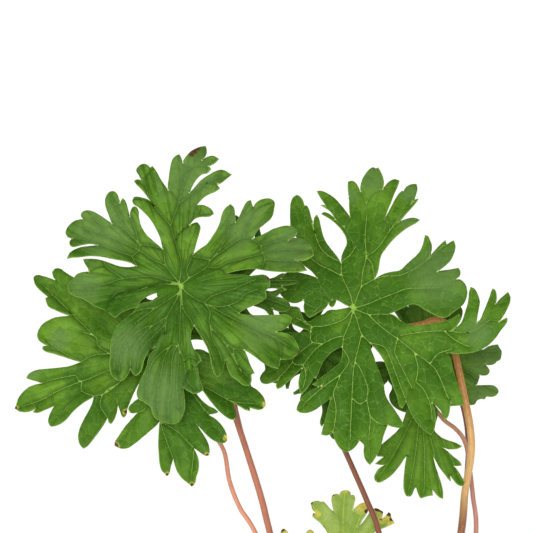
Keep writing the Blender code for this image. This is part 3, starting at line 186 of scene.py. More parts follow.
BACK_LEFT_MARGIN = (
    (150, 300), (140, 292), (128, 283), (118, 281), (108, 287), (98, 290), (88, 286), (80, 281), (73, 277),
    (65, 272), (60.5, 268.8), (56, 268.6), (52.5, 271.5), (53, 276), (56, 280.6), (50, 278.3), (43, 276.2),
    (36.5, 275.2), (33.3, 277.6), (35, 284.5), (40, 290.3), (44.5, 294.2), (48, 297.2), (45.3, 298.4),
    (46.3, 302.5), (48.5, 306.8), (54, 309.6), (62, 313), (69, 315.2), (75.3, 314.8), (68, 316.2),
    (60, 316.8), (54, 318), (47.5, 321), (42, 325), (38.5, 330.5), (37.3, 336), (39, 340.6), (43, 343.6),
    (48, 345.8), (43, 346), (42, 348.6), (45, 351.3), (54, 353.8), (64, 357), (73, 360), (80.8, 362.3),
    (70, 366), (60, 367.6), (48, 368.7), (37, 370), (31, 372.3), (27.5, 375.3), (26, 378.3), (31, 380),
    (37, 381.6), (42.6, 383.4), (35, 384.7), (28, 387.6), (22, 393), (18, 399), (16.5, 404), (14.8, 408.6),
    (19, 411.2), (25, 412.2), (31, 411), (37, 407.8), (33, 412.3), (36.5, 413), (44, 410.5), (54.4, 406),
    (51.5, 411), (49, 417), (48.3, 422), (50.6, 426.8), (56, 425.9), (62, 423), (67, 418.8), (73, 411.8),
    (80, 405.5), (87, 400.6), (94, 396.8), (92, 404), (88, 412), (83.5, 420), (79.5, 429), (78, 437),
    (79.5, 444), (83.3, 449), (88, 445.8), (94, 438.4), (101, 429), (105.5, 422), (107.8, 417.6),
    (109, 423), (111, 424.3), (114, 420), (117, 412), (118, 405.4), (120, 411), (121.3, 415.2),
    (123.2, 418), (126.3, 415.2), (127.2, 409.5), (130.4, 401.5), (134, 393), (137.5, 386), (142, 378),
    (142.6, 386), (140, 397), (133, 402.6), (128.4, 408.2), (129.4, 412), (133, 413.4), (138, 412.4),
    (132, 418.6), (124, 428), (118, 437), (115, 441.5), (114.6, 445.6), (120, 448.4), (127, 448.4),
    (133, 445), (141, 438.6), (150, 431), (156.6, 425), (159.6, 420.8), (158.8, 430), (158.2, 442),
    (158.7, 454), (160, 466), (162, 471), (165, 474), (167, 476.2), (169.2, 473.6), (170.8, 467),
    (173.2, 458.6), (174.4, 464), (177, 471.4), (182, 478.4), (188, 483.3), (191.8, 486.6), (195, 483.4),
    (196.3, 477), (198.2, 471.4), (199, 464), (197.8, 457), (194, 448.2), (198, 451), (202, 454),
    (206, 455.8), (209.3, 455), (209.5, 449), (207.5, 442), (203.5, 435), (199.5, 429), (195.8, 424),
    (200.5, 428.6), (206, 434.4), (212, 439.6), (218, 442.5), (223.4, 443.2), (226.8, 441.2), (227, 435.6),
    (224.8, 429.8), (221, 424.2), (215.5, 418.8), (208.6, 414.6), (213.5, 414), (218.6, 412.3),
    (214.8, 408.8), (210, 406.4), (204.5, 402.6), (200, 398), (196.6, 393), (198, 386), (203, 391),
    (210, 400.6), (216, 408), (221, 413), (226, 417), (231, 419.6), (234.4, 419.8), (236, 417),
    (235.4, 411.6), (233.4, 405.6), (230.4, 401), (236, 404.2), (242, 407.7), (247, 410.6), (250, 410.8),
    (249.8, 407.4), (254, 408.8), (259, 409.8), (263, 408.6), (265.2, 404.6), (264, 398.6), (260.5, 393.4),
    (256, 389.2), (251, 385.6), (250.6, 378), (243, 368), (230, 361), (214, 356.5), (206, 351.5),
    (203, 350), (197, 349.3), (190, 350.5), (184, 352), (181, 347), (183, 342), (190, 340.3), (197, 339.6),
    (205, 340), (210, 338), (208, 331), (200, 325), (190, 322), (180, 322), (173, 325), (170, 318),
    (168, 308), (160, 298),
)
FRONT_RIGHT_MARGIN = (
    (341, 262.6), (341.6, 256), (344, 250), (346.6, 244), (346, 238), (343, 232), (338, 226), (332, 220.6),
    (326, 216.8), (321.3, 214.2), (323.5, 212.4), (328, 213.4), (332, 216), (335.2, 219.4), (331.3, 213),
    (327.5, 209.4), (323, 206.8), (320.6, 205), (325.2, 205), (322, 200.5), (319, 195.6), (316.8, 191.6),
    (320, 190.8), (325, 192.4), (330, 195), (335.5, 199.2), (341, 205.3), (346, 211.6), (350, 217.4),
    (349.2, 208), (348.9, 198), (347.8, 189), (347.8, 182), (352, 181), (355.3, 182.6), (358, 186.6),
    (360.2, 191.4), (360.6, 185), (362.3, 179), (365.5, 173.6), (369.5, 169.2), (373, 167.4),
    (375.5, 168.7), (378.2, 167.4), (380.6, 171.4), (383, 177), (384, 183), (383, 189), (386, 185),
    (390, 181.2), (394.5, 179.4), (399.6, 180.8), (397.6, 187), (394.3, 194), (391.5, 201.5), (388, 210),
    (384.7, 219), (390, 209), (395, 199.5), (399, 193.6), (402.2, 190.8), (403.4, 191.4), (406, 187.4),
    (410, 184.8), (416.6, 184), (417.5, 189), (416.2, 194.4), (414.6, 199.6), (418.6, 198.6), (416.6, 202),
    (411, 208.6), (405, 215.4), (400, 221.6), (405, 219.6), (410, 218.2), (415, 218.1), (420, 219.8),
    (417, 222.3), (411, 225.8), (404, 230.2), (397, 236), (391, 242), (386, 248.4), (382, 254), (380, 260),
    (379.2, 266), (377.6, 272.6), (374.8, 279), (378.4, 276.4), (384, 273.6), (391, 271.8), (400, 270),
    (406, 264.6), (413, 258.5), (418.8, 252.6), (421.6, 247.6), (423.4, 242), (425, 235), (427.8, 236.2),
    (430.4, 240.8), (432, 246.4), (430.6, 255), (434.5, 250.6), (438.5, 246.2), (442.5, 242.4),
    (445.4, 240), (446.7, 244.6), (450, 242.2), (453.6, 240.5), (455.5, 246), (454.2, 253), (451, 260),
    (446, 265.3), (438, 271.4), (444.5, 270.4), (451, 269.6), (458.3, 268), (460.4, 271.4), (460, 275.6),
    (455, 280), (459.5, 279.6), (463, 281.6), (466, 286), (467.2, 292), (466.4, 298), (464, 303.6),
    (460, 307.6), (456, 310.4), (452.6, 313), (447.5, 316.8), (442, 317.6), (436, 315.6), (430, 312.6),
    (424, 309.4), (419, 306), (414, 304.2), (409, 305), (403, 307.7), (397, 310.6), (390.6, 313.6),
    (396, 316.4), (400.6, 320.4), (406, 323.6), (412, 325), (419, 325.4), (426, 324.8), (433, 323.6),
    (440, 322.2), (447, 320.6), (454, 317.4), (458.8, 314.2), (460.8, 317), (459, 322), (456, 327.5),
    (460.6, 323.6), (463.4, 318), (465.4, 311), (467.2, 305.6), (468.4, 299), (469, 292.6), (470.5, 287),
    (473.6, 288.2), (476.6, 292), (478.6, 297), (479.8, 302), (479, 308), (477.8, 315), (476.7, 322.4),
    (480, 319.6), (483, 313), (486, 306), (489, 298), (491, 292), (493, 288.3), (495.4, 290.2),
    (496.8, 297), (496, 304), (499.4, 299.6), (503.4, 296), (508.2, 292), (510.5, 297), (510, 302.4),
    (508, 307.6), (505, 313.4), (499.4, 321.8), (503, 319.6), (507.3, 317.5), (507.3, 321.4),
    (504.4, 326.2), (501, 330.2), (497, 336.2), (492, 342), (487, 346.2), (481, 349.6), (475, 352),
    (466, 353.4), (457, 353.8), (447.6, 353), (451, 360), (453, 370), (456.4, 381), (460, 391), (463, 400),
    (463.8, 405), (457, 405.6), (450, 406.4), (449.6, 412), (447.8, 417), (445, 420), (443, 416.6),
    (440.6, 410.6), (436.6, 406.4), (432, 403), (434.4, 408), (435.4, 415), (435.6, 423), (434.2, 430),
    (431.4, 435), (426, 432), (419.5, 426), (414, 418.6), (409.6, 410.6), (406.2, 402), (402.6, 408.5),
    (399.4, 406.4), (397.4, 398), (394.4, 390), (391.4, 381), (388.2, 371.6), (384.4, 362), (380, 354.6),
    (375.6, 349), (370, 343.2), (371.2, 350), (373.8, 356.4), (376, 363.6), (379, 371), (381.8, 379),
    (384, 385.6), (384.8, 392), (387, 398.6), (391.4, 405), (396.3, 412), (400.4, 418.6), (403, 424),
    (400.4, 427.6), (394, 427.2), (388, 425.4), (385.6, 430.4), (383.5, 436), (382, 443), (379.6, 449.6),
    (376.4, 456.2), (373, 461.4), (370, 465), (367, 462), (364.5, 457), (363.8, 450), (364, 445.4),
    (359.7, 440.4), (356.6, 445.4), (352.6, 449.4), (349, 451.3), (345, 452), (341, 449.5), (337, 444.6),
    (334.2, 438), (333.2, 432.8), (330, 434.4), (326, 435.6), (321, 434.6), (322.4, 429), (325, 420),
    (327.2, 411), (329, 404), (330.4, 398.6), (324, 403.2), (318, 408), (312, 411.5), (306, 413),
    (300, 412.6), (296.5, 410), (297.4, 405.6), (301, 399), (306.5, 393.4), (312, 389.6), (321.4, 386),
    (316.5, 386), (312, 384.6), (316.4, 381.4), (322.4, 376.6), (328.4, 372.3), (334.2, 367.5),
    (339, 363.4), (341.4, 358.4), (342.2, 352.4), (342, 347), (337.4, 348.8), (332, 352), (327, 357),
    (323, 362), (320.4, 368), (318, 374), (316, 378.8), (313.8, 377.4), (311.4, 382), (308, 387),
    (304.4, 391.4), (301, 394), (299, 388), (298.5, 381), (300, 374.4), (302, 368.4), (296.6, 373.4),
    (290.6, 379.4), (284.6, 384.8), (280.4, 388), (277.2, 389), (276, 385.4), (277.4, 380.6), (272, 382.5),
    (266, 384), (261.4, 382.5), (260, 378.4), (261.8, 374), (265, 369.8), (264, 363), (262, 356),
    (266, 350), (268, 343), (275, 337), (283, 333.4), (291, 332.8), (301, 332.4), (311, 331.8),
    (303.6, 328.8), (297, 326), (291, 323.2), (285, 318.6), (279, 313.6), (279, 308.4), (285, 305.8),
    (292, 306.3), (299, 307.6), (301.6, 314), (304.6, 320.4), (309.4, 321.6), (314, 319.2), (319.4, 315.8),
    (324.4, 313.8), (327.4, 311), (331, 309.9), (336, 310), (342, 308.8), (347, 308), (350, 307),
    (345, 304.6), (340.4, 302), (336.5, 300), (335, 304.6), (332.6, 307.4), (330, 306.4), (328.4, 303.6),
    (326.6, 306.8), (323, 310), (318.4, 312.6), (313, 316), (309.4, 317.8), (306.2, 315), (304.3, 309),
    (304.8, 303.6), (303.4, 300.4), (297, 303), (290, 302.4), (283, 297.6), (278, 289), (279, 280),
    (284, 274), (292, 272), (301, 273), (309, 275), (317, 277.8), (311, 271), (304.5, 266), (297.5, 260),
    (295, 251), (299, 243.5), (295.5, 236), (291, 230), (290.3, 222), (290, 212), (290.5, 203.6),
    (292.6, 198), (297, 194.8), (300.6, 197), (303.3, 201), (304.6, 205.8), (307, 205.8), (309.3, 210),
    (311, 216), (313.3, 223.2), (314.4, 217.8), (317, 214.6), (319, 218.4), (320.8, 226), (323, 235),
    (325.8, 241.6), (329.4, 246.8), (333.6, 252), (337.6, 257),
)
RIGHT_MARGIN = (
    (432, 346), (420, 340), (408, 330), (400, 320), (392, 308), (396, 302), (404, 303), (408.4, 307),
    (409, 300), (414, 294), (424, 296), (434, 300), (437, 306), (444, 301), (455, 303), (462, 309),
    (461.6, 318), (457, 326), (452, 333), (460, 331), (470, 334), (478, 340), (474, 346), (483, 349.5),
    (488, 346.6), (493.4, 345), (497.6, 344.3), (499.3, 347.6), (501.5, 351), (501.3, 356), (500, 360),
    (497.2, 361.2), (494.5, 364), (490, 365.2), (485, 364.8), (488, 367.6), (489.6, 371), (487.6, 374.8),
    (483.6, 375.6), (480, 375.2), (478.8, 380), (476.4, 385.4), (483, 385.4), (490, 385), (494, 385.6),
    (497.4, 388.5), (498.5, 391.4), (496.6, 395), (492, 396.8), (486.4, 396.4), (484.6, 399.4),
    (480.8, 399), (477.4, 400.4), (474.6, 404.4), (466, 404.6), (456, 401), (449, 394), (446, 400),
    (440, 404), (434, 402), (430, 394), (427, 386), (424, 395), (418, 403), (410, 412), (401, 411),
    (391.5, 404), (389, 396), (392, 387), (388, 381), (384, 385), (377, 376), (371.5, 368), (374, 362),
    (382, 361.4), (391, 364), (402, 362), (412, 357), (421, 351.5), (431, 349),
)
LOW_RIGHT_MARGIN = (
    (415, 394), (411, 401), (407, 409), (404, 418), (401.5, 425), (397, 431), (391, 436.6), (385.6, 441),
    (380, 446), (375, 451), (377.6, 456.6), (384, 456.6), (379.4, 460), (375, 464), (381.4, 465),
    (384.6, 464.8), (379.5, 468), (376, 472.4), (374.2, 477), (375.5, 481.4), (378.6, 482.6), (384, 480.6),
    (390, 476.6), (395.6, 471), (400, 465.4), (403.4, 460), (406.6, 455.6), (405, 465), (404, 474),
    (403.5, 484), (404.4, 492), (407, 496.4), (410, 496.6), (412.8, 493.4), (414.4, 489), (416, 487.2),
    (417.3, 492), (420.4, 498.6), (425, 497), (429, 496), (432.8, 495.6), (432.3, 489.6), (435.4, 493.4),
    (439.4, 497.4), (443.2, 499), (443, 492), (441.4, 484), (438.5, 475), (435.4, 466.4), (432.6, 455.8),
    (436, 461.4), (440, 468), (444.4, 474), (448.4, 479.4), (451, 481.6), (449.6, 475), (453.4, 480),
    (457.4, 484.4), (461.2, 486), (464.6, 485), (463.6, 480.6), (460.6, 475), (457, 469.4), (453.2, 466),
    (457.6, 466), (462, 465.6), (460, 461.8), (454.6, 457.4), (448.4, 452), (442.2, 447.6), (449, 449.2),
    (456, 449), (460, 447.6), (462, 446), (456.6, 443.4), (450, 441), (443.6, 438.4), (438, 434.8),
    (434.4, 430.4), (436, 422), (438, 413), (434, 404), (427, 397), (421, 392),
)
LOW_MIDDLE_MARGIN = (
    (344, 564), (334, 567), (325, 573), (316, 572), (309, 566), (307, 557), (312, 552), (306, 548),
    (307, 540), (315, 537), (325, 540), (332, 546), (336, 549), (330, 540), (327, 532), (321, 524),
    (315.5, 519), (312.3, 516.6), (313, 513.8), (316, 513), (312.3, 509.5), (311.5, 506), (310.6, 503.4),
    (313.4, 501.4), (317.6, 500.8), (321.4, 501.8), (323, 501.5), (327, 505), (330.4, 509), (333.6, 512),
    (332.4, 506.4), (331.4, 500.4), (331.8, 496.6), (334, 494.3), (337, 493.8), (339, 494.8), (341, 491.4),
    (344, 490.3), (347.4, 490.2), (350.2, 491.8), (351, 495.3), (353.4, 494.8), (355.2, 497), (354.4, 503),
    (352.6, 510.4), (356, 507), (359.4, 504.3), (363.4, 502.6), (366.4, 503.4), (368, 508), (367.6, 511.6),
    (365.4, 515.4), (362, 520.4), (359, 527), (363, 522.4), (366.4, 517.6), (369.4, 513), (372.4, 509.6),
    (376.2, 508.4), (383, 512), (382.4, 516), (381, 519.6), (385.6, 516), (388.4, 512.3), (390.4, 513.4),
    (391.4, 518), (394.4, 523), (388, 526.2), (381.4, 529), (374, 532.6), (367, 538), (362, 544),
    (369, 541), (378, 541), (384, 546), (385, 553), (380, 557), (383, 563), (378, 570), (369, 572),
    (360, 569), (352, 565),
)

# Lobes of a small leaf: direction in degrees and length as a share of the leaf's reach
SMALL_LOBES = ((-52, 0.74), (0, 0.86), (46, 0.97), (90, 1.0), (134, 0.97), (180, 0.86), (232, 0.74))
DRY_LOBES = ((-20, 0.70), (28, 0.84), (75, 0.94), (112, 1.0), (158, 0.86), (205, 0.70))
HIDDEN_LOBES = (
    (-79, 1.0), (-104, 0.64), (-150, 0.62), (150, 0.55), (100, 0.60), (50, 0.62), (8, 0.62), (-38, 0.70),
)
BEHIND_LOBES = (
    (-62, 0.66), (-17, 0.84), (6, 0.92), (47, 1.0), (82, 0.92), (130, 0.50), (180, 0.42), (232, 0.52),
)


def small_margin(lobes, reach):
    """A cut leaf: at each direction a blunt lobe with a tooth on each side, and a deep cut between two."""
    ordered = sorted(lobes, key=lambda lobe: -lobe[0])
    margin = []
    count = len(ordered)
    for index, (angle, share) in enumerate(ordered):
        length = reach * share
        after = ordered[(index + 1) % count][0]
        if after >= angle:
            after -= 360
        turn = math.radians(angle)
        ahead = math.radians(max(angle - after, 1) / 2)
        side = min(1.0, math.tan(min(ahead, 0.5)) * 1.9)
        shape = (
            (0.52, 0.17), (0.66, 0.19), (0.79, 0.31), (0.83, 0.28), (0.76, 0.13), (0.88, 0.13),
            (0.97, 0.08), (1.0, 0.0), (0.97, -0.08), (0.88, -0.13), (0.76, -0.13), (0.83, -0.28),
            (0.79, -0.31), (0.66, -0.19), (0.52, -0.17),
        )
        for along, across in shape:
            x = length * along
            y = length * across * side
            turned = x * math.sin(turn) + y * math.cos(turn)
            margin.append((x * math.cos(turn) - y * math.sin(turn), turned))
        middle = turn - ahead
        cut = reach * (0.30 if angle - after < 75 else 0.10)
        margin.append((cut * math.cos(middle), cut * math.sin(middle)))
    return margin


# Each leaf: where its stalk joins it on the photograph, how far in front of the rootstock, how it leans
# (rise towards the viewer per metre across and up), how its edge curls, and its lobes (tips on the
# photograph, or for a small leaf the lobes above). A bend is a direction in degrees, its spread and how
# far the lobe's end is bent towards the viewer. A foot is where the stalk enters the soil. A basal leaf
# stands below the photograph: its place is given above the soil, with the way that it faces in degrees.
LEAVES = (
    dict(
        name="front_left", hub=(181, 286), depth=0.079, lean=(-0.04, -0.30), curl=-0.0035, reach=0.050,
        margin=FRONT_LEFT_MARGIN, colour="leaf_green",
        tips=((205, 148), (240, 206), (312, 255), (267, 288), (298, 353), (248, 384), (168, 422),
              (118, 379), (70, 289), (68, 231)),
        bends=((4, 17, 0.016), (-29, 16, -0.002), (143, 22, -0.004), (-92, 22, -0.005), (180, 18, -0.004)),
        stalk=0.0014, colour_stalk="stalk_red",
        path=((188, 298, 0.066), (205, 330, 0.052), (220, 372, 0.047), (233.5, 411, 0.045),
              (248, 455, 0.042), (261, 497, 0.038), (270, 533, 0.034), (298, 640, 0.024),
              (322, 730, 0.014)),
        foot=(-0.0125, -0.0070),
    ),
    dict(
        name="behind_left", hub=(226, 288), depth=0.0715, lean=(-0.02, -0.30), curl=-0.002, reach=0.0285,
        margin=None, lobes=BEHIND_LOBES, colour="leaf_dark", tips=(), bends=((-10, 30, -0.002),),
        stalk=0.0009, colour_stalk="stalk_red",
        path=((228, 300, 0.064), (230.5, 345, 0.0525), (233.5, 395, 0.0395), (246.5, 450, 0.036),
              (260.5, 500, 0.032), (277, 560, 0.027), (303, 650, 0.018), (330, 740, 0.009)),
        foot=(-0.0120, 0.0045),
    ),
    dict(
        name="back_left", hub=(149, 355), depth=0.0735, lean=(-0.02, -0.30), curl=-0.003, reach=0.050,
        margin=BACK_LEFT_MARGIN, colour="leaf_green",
        tips=((34, 278), (40, 334), (18, 407), (84, 447), (116, 445), (190, 484), (225, 440), (263, 405),
              (100, 284)),
        bends=((146, 25, -0.004), (202, 22, -0.004), (-80, 30, -0.005), (-20, 24, -0.007)),
        stalk=0.0010, colour_stalk="stalk_salmon",
        path=((158, 372, 0.064), (184, 405, 0.055), (207, 428, 0.0515), (223.5, 450, 0.050),
              (229.5, 481, 0.0475), (240, 508, 0.045), (256, 534, 0.042), (290, 610, 0.032),
              (330, 720, 0.018)),
        foot=(-0.0060, -0.0120),
    ),
    dict(
        name="front_right", hub=(353, 307), depth=0.0605, lean=(0.04, -0.30), curl=-0.003, reach=0.052,
        margin=FRONT_RIGHT_MARGIN, colour="leaf_green",
        tips=((297, 197), (374, 170), (455, 250), (506, 300), (440, 415), (347, 450), (262, 379),
              (282, 309), (286, 290)),
        bends=((75, 22, -0.004), (-95, 25, -0.004), (30, 20, -0.003), (0, 20, 0.003), (180, 30, -0.003)),
        stalk=0.0016, colour_stalk="stalk_tan",
        path=((366, 316, 0.050), (392, 327, 0.0455), (418, 325.5, 0.0425), (436, 320, 0.0420),
              (448, 327, 0.0430), (455, 353, 0.0445), (464, 395, 0.046), (470.5, 430, 0.047),
              (471, 455, 0.0465), (465, 492, 0.044), (461, 533, 0.040), (446, 620, 0.030),
              (418, 720, 0.019)),
        foot=(0.0105, -0.0080),
    ),
    dict(
        name="behind_middle", hub=(318, 352), depth=0.0505, lean=(0.02, -0.26), curl=-0.002, reach=0.0320,
        margin=None, lobes=HIDDEN_LOBES, colour="leaf_dark", tips=(), bends=(),
        stalk=0.0012, colour_stalk="stalk_brown",
        path=((319, 364, 0.0445), (322.5, 385, 0.0430), (328, 407, 0.0440), (337, 432, 0.0440),
              (346, 453, 0.0435), (354, 471, 0.0425), (367, 501, 0.040), (379, 533, 0.037),
              (390, 600, 0.031), (388, 700, 0.020)),
        foot=(0.0035, -0.0115),
    ),
    dict(
        name="far_right", hub=(428, 352), depth=0.0360, lean=(0.04, -0.26), curl=-0.003, reach=0.028,
        margin=RIGHT_MARGIN, colour="leaf_dark",
        tips=((401, 310), (455, 306), (498, 352), (494, 391), (410, 408), (375, 368)),
        bends=((0, 30, -0.003),),
        stalk=0.0011, colour_stalk="stalk_brown",
        path=((434, 356, 0.0270), (446, 370, 0.0255), (459, 395, 0.0250), (466.5, 425, 0.0250),
              (468, 455, 0.0245), (465, 492, 0.023), (461, 533, 0.021), (447, 620, 0.015),
              (420, 720, 0.006)),
        foot=(0.0120, 0.0050),
    ),
    dict(
        name="low_right", hub=(419, 402), depth=0.0590, lean=(0.00, -0.34), curl=-0.003, reach=0.036,
        margin=LOW_RIGHT_MARGIN, colour="leaf_bright",
        tips=((378, 479), (408, 493), (424, 495), (441, 495), (462, 483), (459, 446)),
        bends=((-90, 60, -0.004),),
        stalk=0.0010, colour_stalk="stalk_pink",
        path=((425, 402, 0.0480), (433.5, 407, 0.0455), (444, 420, 0.0445), (454.5, 428, 0.0430),
              (462.5, 437, 0.0400), (467, 449, 0.0375), (470, 470, 0.0360), (473, 497, 0.0350),
              (476, 533, 0.033), (468, 620, 0.026), (438, 720, 0.016)),
        foot=(0.0145, -0.0015),
    ),
    dict(
        name="low_middle", hub=(345, 560), depth=0.0310, lean=(0.00, -0.25), curl=-0.002, reach=0.026,
        margin=LOW_MIDDLE_MARGIN, colour="leaf_yellow",
        tips=((312, 504), (345, 491), (366, 506), (388, 517), (310, 552), (382, 560)),
        bends=(), stalk=0.0011, colour_stalk="stalk_pale",
        path=((347, 572, 0.0250), (352, 610, 0.0190), (360, 680, 0.0130), (366, 740, 0.0090)),
        foot=(-0.0005, -0.0080),
    ),
    dict(
        name="low_left", hub=(300, 572), depth=0.0440, lean=(0.00, -0.30), curl=-0.002, reach=0.0165,
        margin=None, lobes=DRY_LOBES, colour="leaf_yellow", tips=(), bends=(),
        stalk=0.0010, colour_stalk="stalk_pale",
        path=((304, 584, 0.0370), (314, 620, 0.0290), (330, 680, 0.0210), (345, 740, 0.0130)),
        foot=(-0.0080, -0.0015),
    ),
    dict(
        name="basal_right", at=(0.050, -0.004, 0.058), faces=(-6, 56), curl=-0.003, reach=0.0300,
        margin=None, lobes=SMALL_LOBES, colour="leaf_green", bends=(),
        stalk=0.0011, colour_stalk="stalk_red", foot=(0.0150, 0.0085),
    ),
    dict(
        name="basal_front", at=(0.019, -0.043, 0.044), faces=(-66, 52), curl=-0.003, reach=0.0250,
        margin=None, lobes=SMALL_LOBES, colour="leaf_bright", bends=(),
        stalk=0.0010, colour_stalk="stalk_red", foot=(0.0080, -0.0165),
    ),
    dict(
        name="basal_left", at=(-0.051, -0.017, 0.047), faces=(196, 55), curl=-0.003, reach=0.0290,
        margin=None, lobes=SMALL_LOBES, colour="leaf_green", bends=(),
        stalk=0.0011, colour_stalk="stalk_red", foot=(-0.0185, -0.0030),
    ),
    dict(
        name="basal_back", at=(-0.014, 0.046, 0.060), faces=(104, 56), curl=-0.003, reach=0.0300,
        margin=None, lobes=SMALL_LOBES, colour="leaf_dark", bends=(),
        stalk=0.0011, colour_stalk="stalk_red", foot=(-0.0030, 0.0130),
    ),
)

